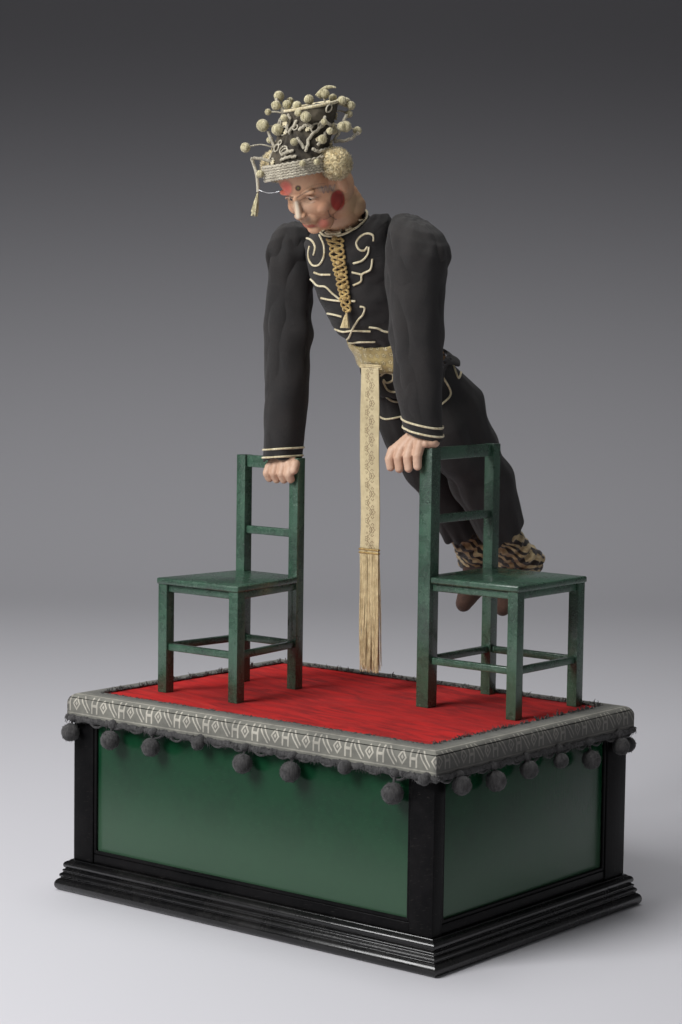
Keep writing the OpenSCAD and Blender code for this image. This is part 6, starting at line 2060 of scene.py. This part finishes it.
@dataclass
class Head:
    """The doll's head, with its painted face."""

    shop: Workshop
    eye: tuple[float, float, float] = (11.0, -35.0, 49.5)

    def build(self) -> None:
        """Models the head, its eyes and ears, and paints it."""
        head = self.model()
        self.paint(head)
        self.shop.piece(head, FACE, "head", "head")
        self.eyes()

    def model(self) -> bpy.types.Object:
        """Builds the head up from lumps and smooths them together."""
        lumps = []
        masses = [((0, 3, 14), 19.5), ((0, 1, 34), 23.5), ((0, -8, 46), 26), ((0, -21, 53), 22.5),
                  ((0, -31, 23), 10.5), ((0, -24, 66), 21)]
        for place, radius in masses:
            lumps.append(ball(Vector(place), radius, detail=4))
        lumps.append(ball(Vector((0, -22, 40)), (24.5, 22, 21), detail=4))
        for side in (-1, 1):
            lumps += [
                ball(Vector((side * 9.5, -18, 33)), 14.5, detail=4),
                ball(Vector((side * 14.5, -31, 37)), (8.5, 8.5, 8), detail=4),
                ball(Vector((side * 10.5, -37.5, 56.5)), (9.5, 4.5, 3.4), detail=4),
                ball(Vector((side * 3.4, -47.5, 37.4)), (3.0, 3.2, 2.6), detail=3),
                ball(Vector((side * 26.5, -7, 42)), (3.0, 6.0, 9.5), detail=3),
                ball(Vector((side * 2.4, -43.0, 27.6)), (4.4, 2.6, 1.7), detail=3),
                ball(Vector((side * 6.5, -29.5, 20)), 10, detail=4)]
        for step in range(9):
            t = step / 8
            lumps.append(ball(Vector((0, -43.0 - 5.6 * t ** 1.3, 54 - 16 * t)), 2.6 + 1.5 * t, detail=3))
        lumps += [
            ball(Vector((0, -42.6, 24.8)), (5.0, 2.9, 1.9), detail=3),
            ball(Vector((0, -38.0, 16.8)), (7.5, 6.0, 5.5), detail=3),
            ball(Vector((0, -38, 30)), (11, 8, 9), detail=4),
            ball(Vector((0, 0, 0)), 17.5, detail=4)]
        back = HEAD.inverted()
        for pixel, radius in (((345, 196), 13), ((349.5, 201), 12), ((354, 206), 11)):
            nape = self.shop.photograph.place(pixel, HEAD @ at(0, 0, 10) / MM, 0.0)
            lumps.append(ball(back @ (nape * MM) / MM, radius, detail=4))
        head = fused("painted_head", lumps, 0.75, 7)

        def carve(p: Vector, normal: Vector) -> float:
            depth = 0.0
            for side in (-1, 1):
                away = (Vector((side * self.eye[0], self.eye[1] - 3, self.eye[2])) - p)
                depth -= 2.6 * bump(Vector((away.x / 1.5, away.y / 2, away.z)).length, 4.6)
            depth -= 0.9 * bump(abs(p.z - 26.2), 0.8) * bump(p.x, 6) * (1 if p.y < -36 else 0)
            return depth

        folded(head, carve)
        return transformed(head, HEAD)

    def paint(self, head: bpy.types.Object) -> None:
        """Brushes the make-up, with painted highlights and painted shade, on the face as a colour for each
        point, as the photograph shows it.
        """
        attribute = head.data.attributes.new(PAINT, "FLOAT_COLOR", "POINT")
        back = HEAD.inverted()
        towards = self.shop.photograph.axes()[2]
        drawn = [(stroke, flowing(stroke.points, 6)) for stroke in FACE_MAKEUP_AND_PAINTED_LIGHT]
        for k, vertex in enumerate(head.data.vertices):
            local = back @ vertex.co / MM
            normal = back.to_3x3() @ vertex.normal
            turned = Vector((abs(local.x), local.y, local.z))
            facing = Vector((math.copysign(normal.x, normal.x * local.x), normal.y, normal.z))
            own = Vector(self.shop.photograph.pixel(vertex.co / MM))
            other = Vector(self.shop.photograph.pixel(HEAD @ (turned * MM) / MM))
            own_seen = vertex.normal.dot(towards) > 0
            other_seen = (HEAD.to_3x3() @ facing).dot(towards) > 0
            tint = Vector((0, 0, 0))
            amount = 0.0
            for stroke, line in drawn:
                spot, seen = (other, other_seen) if stroke.both else (own, own_seen)
                if not seen:
                    continue
                share = stroke.strength * clamped(stroke.covers(spot, line))
                tint = tint * (1 - share) + Vector(stroke.colour) * share
                amount = amount + share * (1 - amount)
            attribute.data[k].color = (*tint, amount)

    def eyes(self) -> None:
        """Sets glossy eyes with dark irises and upper lids."""
        body = "head"
        whites = []
        irises = []
        lids = []
        for side in (-1, 1):
            centre = Vector((side * self.eye[0], self.eye[1] + 0.9, self.eye[2]))
            whites.append(ball(centre, (5.0, 4.2, 2.9)))
            irises.append(ball(centre + Vector((-side * 0.4, -2.9, -0.6)), (2.1, 1.5, 2.0), detail=3))
            arc = []
            for k in range(13):
                a = math.pi * k / 12
                arc.append(centre + Vector((5.6 * math.cos(a), -3.3 - 1.3 * math.sin(a), 2.6 * math.sin(a))))
            lids.append(arc)
        white = Painted("eye_white", base=paint_colour(206, 190, 166), warm=paint_colour(160, 130, 104),
                        gloss=0.2)
        dark = Painted("eye_dark", base=BLACK, warm=paint_colour(20, 16, 16), gloss=0.12)
        for name, parts, finish in (("eye_whites", whites, white), ("eye_irises", irises, dark)):
            obj = transformed(joined(name, parts), HEAD)
            pick(obj)
            bpy.ops.object.shade_smooth()
            self.shop.piece(obj, finish, body)
        lid = transformed(tube("eye_lids", lids, 0.85, 8), HEAD)
        self.shop.piece(lid, FLESH, body)


@dataclass
class Hat:
    """The tall cap with its braids, springy pompoms and tinsel. Pixels are the photograph's."""

    shop: Workshop
    radius: float = 29.5
    band_h: float = 10.0
    band_rows: int = 6
    tinsel_count: int = 70
    tassel_threads: int = 40
    lean: float = 34.0
    height: float = 52.0
    top_r: float = 24.5
    level: float = 0.12
    rim_level: float = 0.17
    sink: float = 5.5
    spray_r: float = 5.2
    ear: tuple[float, float, float] = (34.5, -9.0, 72.0)
    ear_r: float = 14.6
    seen_sprays: tuple[tuple[float, float, float, float], ...] = (
        (279, 96, 5.0, 0), (276, 105.5, 4.6, 5), (287, 104.5, 4.2, 10), (297, 105.5, 4.4, 12),
        (309, 99.7, 4.8, 5), (324.7, 94, 4.6, 0), (342, 100.8, 4.6, 0), (351, 105.5, 4.2, -4),
        (262.6, 125.5, 6.0, 5), (277.4, 129.7, 5.6, 14), (245.3, 147.6, 4.8, 0), (305.8, 117, 5.2, 30),
        (345.8, 126.6, 5.4, 10), (357.4, 130.8, 4.2, 0), (260, 174, 3.8, 12), (322.6, 139.2, 4.4, 30),
        (298, 113, 3.4, 26), (290, 101, 3.6, -6), (333, 98, 4.0, -12), (349, 114, 3.6, -8),
        (268, 112, 3.2, -10), (270, 140, 3.4, 0), (317, 162, 3.2, 34), (302.5, 163.5, 3.2, 36),
        (294, 142, 3.6, 32), (324, 122, 3.2, 32), (284, 118, 3.6, 22), (330, 131, 3.4, 30))
    hidden_sprays: tuple[tuple[float, float, float], ...] = (
        (50, 0.95, 9), (80, 0.5, 10), (110, 0.9, 8), (20, 0.55, 10), (140, 0.55, 11), (95, 0.1, 8))
    twigs: tuple[tuple[Pixel, ...], ...] = (
        ((305.4, 151.3), (309.8, 138.1), (321.5, 124.9), (324.5, 117.5)),
        ((323, 120.5), (328.9, 124.9)), ((286.3, 133.7), (289.3, 123.4), (290.7, 114.6)),
        ((289.3, 133.7), (297.3, 121.9)), ((298.1, 138.1), (303.9, 148.3)),
        ((317.1, 145.4), (323, 138.1), (324.5, 133.7)), ((283, 156), (288, 153), (293.7, 151.3)),
        ((282, 160.5), (288, 158), (296.6, 157.1)), ((312, 150), (318, 152), (325, 149)),
        ((300, 130), (306, 126), (312, 128)))
    free_twigs: tuple[tuple[Pixel, ...], ...] = (
        ((334, 140.5), (340.6, 129.3), (346.5, 114.6)), ((334, 141.5), (349.4, 139.5), (358.2, 132.2)),
        ((278.5, 154), (273.1, 143.9), (268, 131)), ((284, 112), (279, 104), (276, 99)),
        ((270.2, 161.5), (261.4, 158.6), (251.1, 158.6)))
    hook: tuple[Pixel, ...] = ((318, 97), (321.5, 92), (326, 88), (331, 86.8), (336, 87.6))
    tassel: tuple[Pixel, ...] = ((251.6, 158.6), (255.5, 170), (257.6, 182), (258, 192))
    tassel_end: Pixel = (254.8, 214)
    wire: tuple[Pixel, ...] = ((258.6, 190), (265, 192.4), (271, 193.2), (280, 191.4))

    def build(self) -> None:
        """Makes the cap and everything on it."""
        surface = Surface(self.cap())
        self.braids()
        self.sprays(surface)
        self.tinsel(surface)
        self.ear_pompoms()
        self.side_tassel()

    def middle(self) -> Vector:
        """Returns the middle of the crown in millimetres."""
        return HAT_PLACE @ at(0, self.lean / 2, self.height / 2) / MM

    def levelled(self, place: Vector, share: float) -> Vector:
        """Lowers the crown's far side, so that its top lies level to the eye.

        Args:
            place: A place in millimetres.
            share: How high on the crown it is.

        Returns:
            The place in millimetres.
        """
        back = self.shop.photograph.axes()[2]
        middle = HAT_PLACE @ at(0, self.lean * share, self.height * share) / MM
        far = (middle - place).dot(Vector((back.x, back.y, 0)))
        level = self.rim_level + (self.level - self.rim_level) * share
        return place - Vector((0, 0, level * far + self.sink * max(0.3, share)))

    def wall(self, angle: float, share: float, lift: float) -> Vector:
        """Returns a place on the crown's wall in millimetres, lifted off it."""
        radius = self.radius - 2 + (self.top_r - self.radius + 2) * share + lift
        local = at(radius * math.cos(angle), radius * math.sin(angle) + self.lean * share,
                   self.height * share)
        return self.levelled(HAT_PLACE @ local / MM, share)

    def cap(self) -> bpy.types.Object:
        """Softens the cap's cloth over its stiffening, and returns it."""
        back = HAT_PLACE.inverted()

        def folds(p: Vector, normal: Vector) -> float:
            local = back @ (p * MM) / MM
            if local.z < 2:
                return 0.0
            around = math.atan2(local.y, local.x)
            gathers = 0.7 * math.sin(around * 12) * min(1.0, local.z / 20)
            return gathers + creased(local, (0.09, 0.09, 0.09), 1.2)

        obj = self.shop.tailored("hat", "cap_cloth", HAT, 1.0, 3, folds)
        for vertex in obj.data.vertices:
            share = (back @ vertex.co).z / MM / self.height
            vertex.co = self.levelled(vertex.co / MM, share) * MM
        return obj

    def braids(self) -> None:
        """Winds rows of twisted silver braid round the band, and a cream one round the crown's top."""
        rows = []
        count = 120
        for row in range(self.band_rows):
            z = -self.band_h / 2 - 0.6 + row * 2.2
            ring = []
            for k in range(count):
                a = 2 * math.pi * k / count
                twist = 0.5 * math.sin(a * 38 + row * 1.7)
                out = self.radius + 0.7 + twist
                place = HAT_PLACE @ at(out * math.cos(a), out * math.sin(a), z + 0.5 * math.cos(a * 38)) / MM
                ring.append(self.levelled(place, z / self.height))
            rows.append(ring)
        self.shop.piece(tube("headband_braid", rows, 1.25, 8, closed=True), TINSEL, "head")
        top = [self.wall(math.tau * k / 96, 1.0, 0.6 + 0.4 * math.sin(math.tau * k / 96 * 30))
               for k in range(96)]
        self.shop.piece(tube("crown_braid", [top], 1.5, 8, closed=True), SOUTACHE, "head")

    def sprays(self, surface: Surface) -> None:
        """Bends a wire out to each pompom."""
        draw = random.Random(8)
        middle = self.middle()
        tips = [(self.shop.photograph.place((u, v), middle, nearer), radius)
                for u, v, radius, nearer in self.seen_sprays]
        for angle, share, out in self.hidden_sprays:
            tips.append((self.wall(math.radians(angle), share, out), self.spray_r * 0.9))
        models = [wool_ball(self.spray_r, 3, 130, seed) for seed in (4, 5)]
        wires = []
        balls = []
        for k, (tip, radius) in enumerate(tips):
            foot = surface.nearest(tip, -1.0)
            bow = Vector((draw.uniform(-2, 2), draw.uniform(-2, 2), draw.uniform(0.5, 3)))
            wires.append(flowing((foot, (foot + tip) / 2 + bow, tip), 5))
            spin = Matrix.Rotation(draw.uniform(0, 6), 4, "Y")
            size = radius / self.spray_r
            balls.append(copied(models[k % 2], Matrix.Translation(tip * MM) @ spin @ Matrix.Scale(size, 4)))
        for model in models:
            discard(model)
        self.shop.piece(joined("spray_pompoms", balls), OLD_WOOL, "head", "hat_sprays")
        self.shop.piece(tube("spray_wires", wires, 0.75, 6), TINSEL, "head")

    def tinsel(self, surface: Surface) -> None:
        """Sews twigs, rings, stars and loops of tinsel over the crown."""
        draw = random.Random(31)
        shop = self.shop
        middle = self.middle()
        twigs = [shop.traced(surface, twig, 1.6) for twig in self.twigs]
        for twig in self.free_twigs:
            twigs.append(flowing([shop.photograph.place(pixel, middle, 4.0) for pixel in twig], 5))
        twigs = [[p + Vector([0.35 * math.sin(k * 2.1 + axis * 2) for axis in range(3)])
                  for k, p in enumerate(twig)] for twig in twigs if len(twig) > 2]
        shop.piece(tube("tinsel_twigs", twigs, 1.5, 8), TINSEL, "head")
        hook = flowing([shop.photograph.place(pixel, middle, 0.0) for pixel in self.hook], 5)
        shop.piece(tube("crown_hook", [hook], 2.6, 8, taper=lambda share: 1.25 - share), OLD_WOOL, "head")
        rings = []
        stars = []
        for k in range(self.tinsel_count):
            angle = draw.uniform(0, math.tau)
            share = draw.uniform(0.08, 0.92)
            centre = self.wall(angle, share, 1.4)
            side = (self.wall(angle + 0.1, share, 1.4) - centre).normalized()
            rise = (self.wall(angle, share + 0.05, 1.4) - centre).normalized()
            radius = draw.uniform(1.8, 4.0)
            if k % 3:
                rings.append([centre + (side * math.cos(a) + rise * math.sin(a)) * radius
                              for a in (math.tau * j / 14 for j in range(14))])
            else:
                for j in range(3):
                    a = math.pi * j / 3
                    arm = (side * math.cos(a) + rise * math.sin(a)) * radius
                    stars.append([centre - arm, centre, centre + arm])
        shop.piece(tube("tinsel_rings", rings, 0.8, 6, closed=True), TINSEL, "head")
        shop.piece(tube("tinsel_stars", stars, 0.9, 6), SOUTACHE, "head")

    def ear_pompoms(self) -> None:
        """Hangs the two large soft pompoms beside the temples."""
        balls = []
        for side in (-1, 1):
            model = wool_ball(self.ear_r, 5, 2400, 40 + side)
            place = HAT_DROP @ HEAD @ Matrix.Translation(at(side * self.ear[0], self.ear[1], self.ear[2]))
            balls.append(transformed(model, place))
        self.shop.piece(joined("temple_pompoms", balls), CREAM_WOOL, "head", "ear_pompoms")

    def side_tassel(self) -> None:
        """Hangs a cord and tassel from the band's free side, with a wire to the forehead."""
        draw = random.Random(77)
        camera = self.shop.photograph
        beside = HAT_PLACE @ at(-29, -4, 0) / MM
        cord = flowing([camera.place(pixel, beside, 0.0) for pixel in self.tassel], 6)
        end = camera.place(self.tassel_end, beside, 0.0)
        threads = []
        for _ in range(self.tassel_threads):
            spread = Vector([draw.uniform(-1, 1) for _ in range(3)])
            threads.append([cord[-1], (cord[-1] + end) / 2 + spread * 1.4, end + spread * 2.4])
        self.shop.piece(tube("tassel_cord", [cord], 1.5, 8), TINSEL, "head")
        self.shop.piece(tube("side_tassel", threads, 0.5, 4), OLD_WOOL, "head")
        wire = flowing([camera.place(pixel, beside, 2.0 + 3.0 * k) for k, pixel in enumerate(self.wire)], 5)
        self.shop.piece(tube("forehead_wire", [wire], 0.5, 6), STEEL, "head")


@dataclass
class Clockwork:
    """The nodes that keep their shape and get their finish here."""

    shop: Workshop

    def build(self) -> None:
        """Gives each node the finish that its slot in the record names."""
        slots = {row["node"]: Slot(row["material_slot"]) for row in self.shop.frame["record"]["subparts"]}
        for name, node in self.shop.frame["nodes"].items():
            material = self.shop.material(NODE_FINISHES[slots[name]])
            if not node.material_slots:
                node.data.materials.append(material)
            for entry in node.material_slots:
                entry.material = material


@dataclass(frozen=True)
class Lamp:
    """A square lamp, placed in metres as the camera sees the object from the front."""

    name: str
    place: tuple[float, float, float]
    size: float
    watts: float


@dataclass
class Studio:
    """A pale floor that rises into a grey backdrop, and soft lamps."""

    photograph: Photograph
    floor_colour: Colour = paint_colour(212, 211, 216)
    wall_colour: Colour = paint_colour(88, 87, 90)
    fade_low: float = -0.25
    fade_high: float = 1.25
    reach: float = 6.0
    wall_at: float = 2.2
    curve: float = 1.2
    key: Lamp = Lamp("key", (-1.6, -1.3, 1.7), 1.2, 68.0)
    fill: Lamp = Lamp("fill", (1.8, -1.4, 0.9), 1.6, 1.5)
    top: Lamp = Lamp("top", (-0.2, 0.5, 2.4), 1.4, 22.0)
    aim_height: float = 0.35
    sky_colour: Colour = (0.86, 0.87, 0.9)
    sky_strength: float = 0.11

    def build(self) -> None:
        """Adds the backdrop, the lamps, the world light and the camera."""
        self.backdrop()
        self.lamps()
        self.photograph.add_camera()

    def backdrop(self) -> None:
        """Sweeps a floor up into a wall behind the object, as seen by the camera."""
        turn = Matrix.Rotation(math.radians(self.photograph.azimuth), 3, "Z")

        def shape(u: float, v: float) -> Vector:
            x = (u - 0.5) * 2 * self.reach
            s = v * 3 * self.reach
            flat = self.reach + self.wall_at
            if s < flat:
                y, z = s - self.reach, 0.0
            elif s < flat + self.curve * math.pi / 2:
                a = (s - flat) / self.curve
                y, z = self.wall_at + self.curve * math.sin(a), self.curve * (1 - math.cos(a))
            else:
                y, z = self.wall_at + self.curve, self.curve + s - flat - self.curve * math.pi / 2
            return turn @ Vector((x, y, z)) / MM

        obj = shaped_grid("backdrop", 8, 120, shape)
        obj.data.flip_normals()
        r = Recipe("backdrop_paper")
        height = r.node("SeparateXYZ", {0: r.coordinates()}).outputs[2]
        fade = r.spread(height, self.fade_low, self.fade_high)
        colour = r.mix(fade, self.floor_colour, self.wall_colour)
        obj.data.materials.append(r.dress(colour, 0.9))
        seen_behind = r.times(r.node("NewGeometry").outputs["Backfacing"],
                              r.node("LightPath").outputs["Is Camera Ray"])
        clear = r.node("BsdfTransparent").outputs[0]
        surface = r.node("MixShader", {0: seen_behind, 1: r.shader.outputs[0], 2: clear}).outputs[0]
        r.put(r.nodes.nodes["Material Output"].inputs["Surface"], surface)

    def lamps(self) -> None:
        """Lights the object with a large key from the left, a weak fill and a pale world."""
        turn = Matrix.Rotation(math.radians(self.photograph.azimuth), 3, "Z")
        for kind in (self.key, self.fill, self.top):
            data = bpy.data.lights.new(kind.name, "AREA")
            data.energy = kind.watts
            data.size = kind.size
            lamp = bpy.data.objects.new(kind.name, data)
            bpy.context.scene.collection.objects.link(lamp)
            lamp.location = turn @ Vector(kind.place)
            aim = Vector((0, 0, self.aim_height)) - lamp.location
            lamp.rotation_euler = aim.to_track_quat("-Z", "Y").to_euler()
        world = bpy.data.worlds.new("studio")
        bpy.context.scene.world = world
        world.use_nodes = True
        background = world.node_tree.nodes["Background"]
        background.inputs["Color"].default_value = (*self.sky_colour, 1)
        background.inputs["Strength"].default_value = self.sky_strength


def main() -> None:
    """Loads the frame, dresses every part of the automaton and lights it."""
    logging.basicConfig(level=logging.INFO, format="%(name)s: %(message)s")
    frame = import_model()
    photograph = Photograph()
    shop = Workshop(frame, Effects(), photograph)
    bpy.context.scene.view_settings.view_transform = "Standard"
    for assembly in (Clockwork(shop), Cabinet(shop), Stage(shop), Chairs(shop), Costume(shop), Belt(shop),
                     Hands(shop), Head(shop), Hat(shop), Studio(photograph)):
        LOG.info("building %s", type(assembly).__name__)
        assembly.build()


if __name__ == "__main__":
    main()
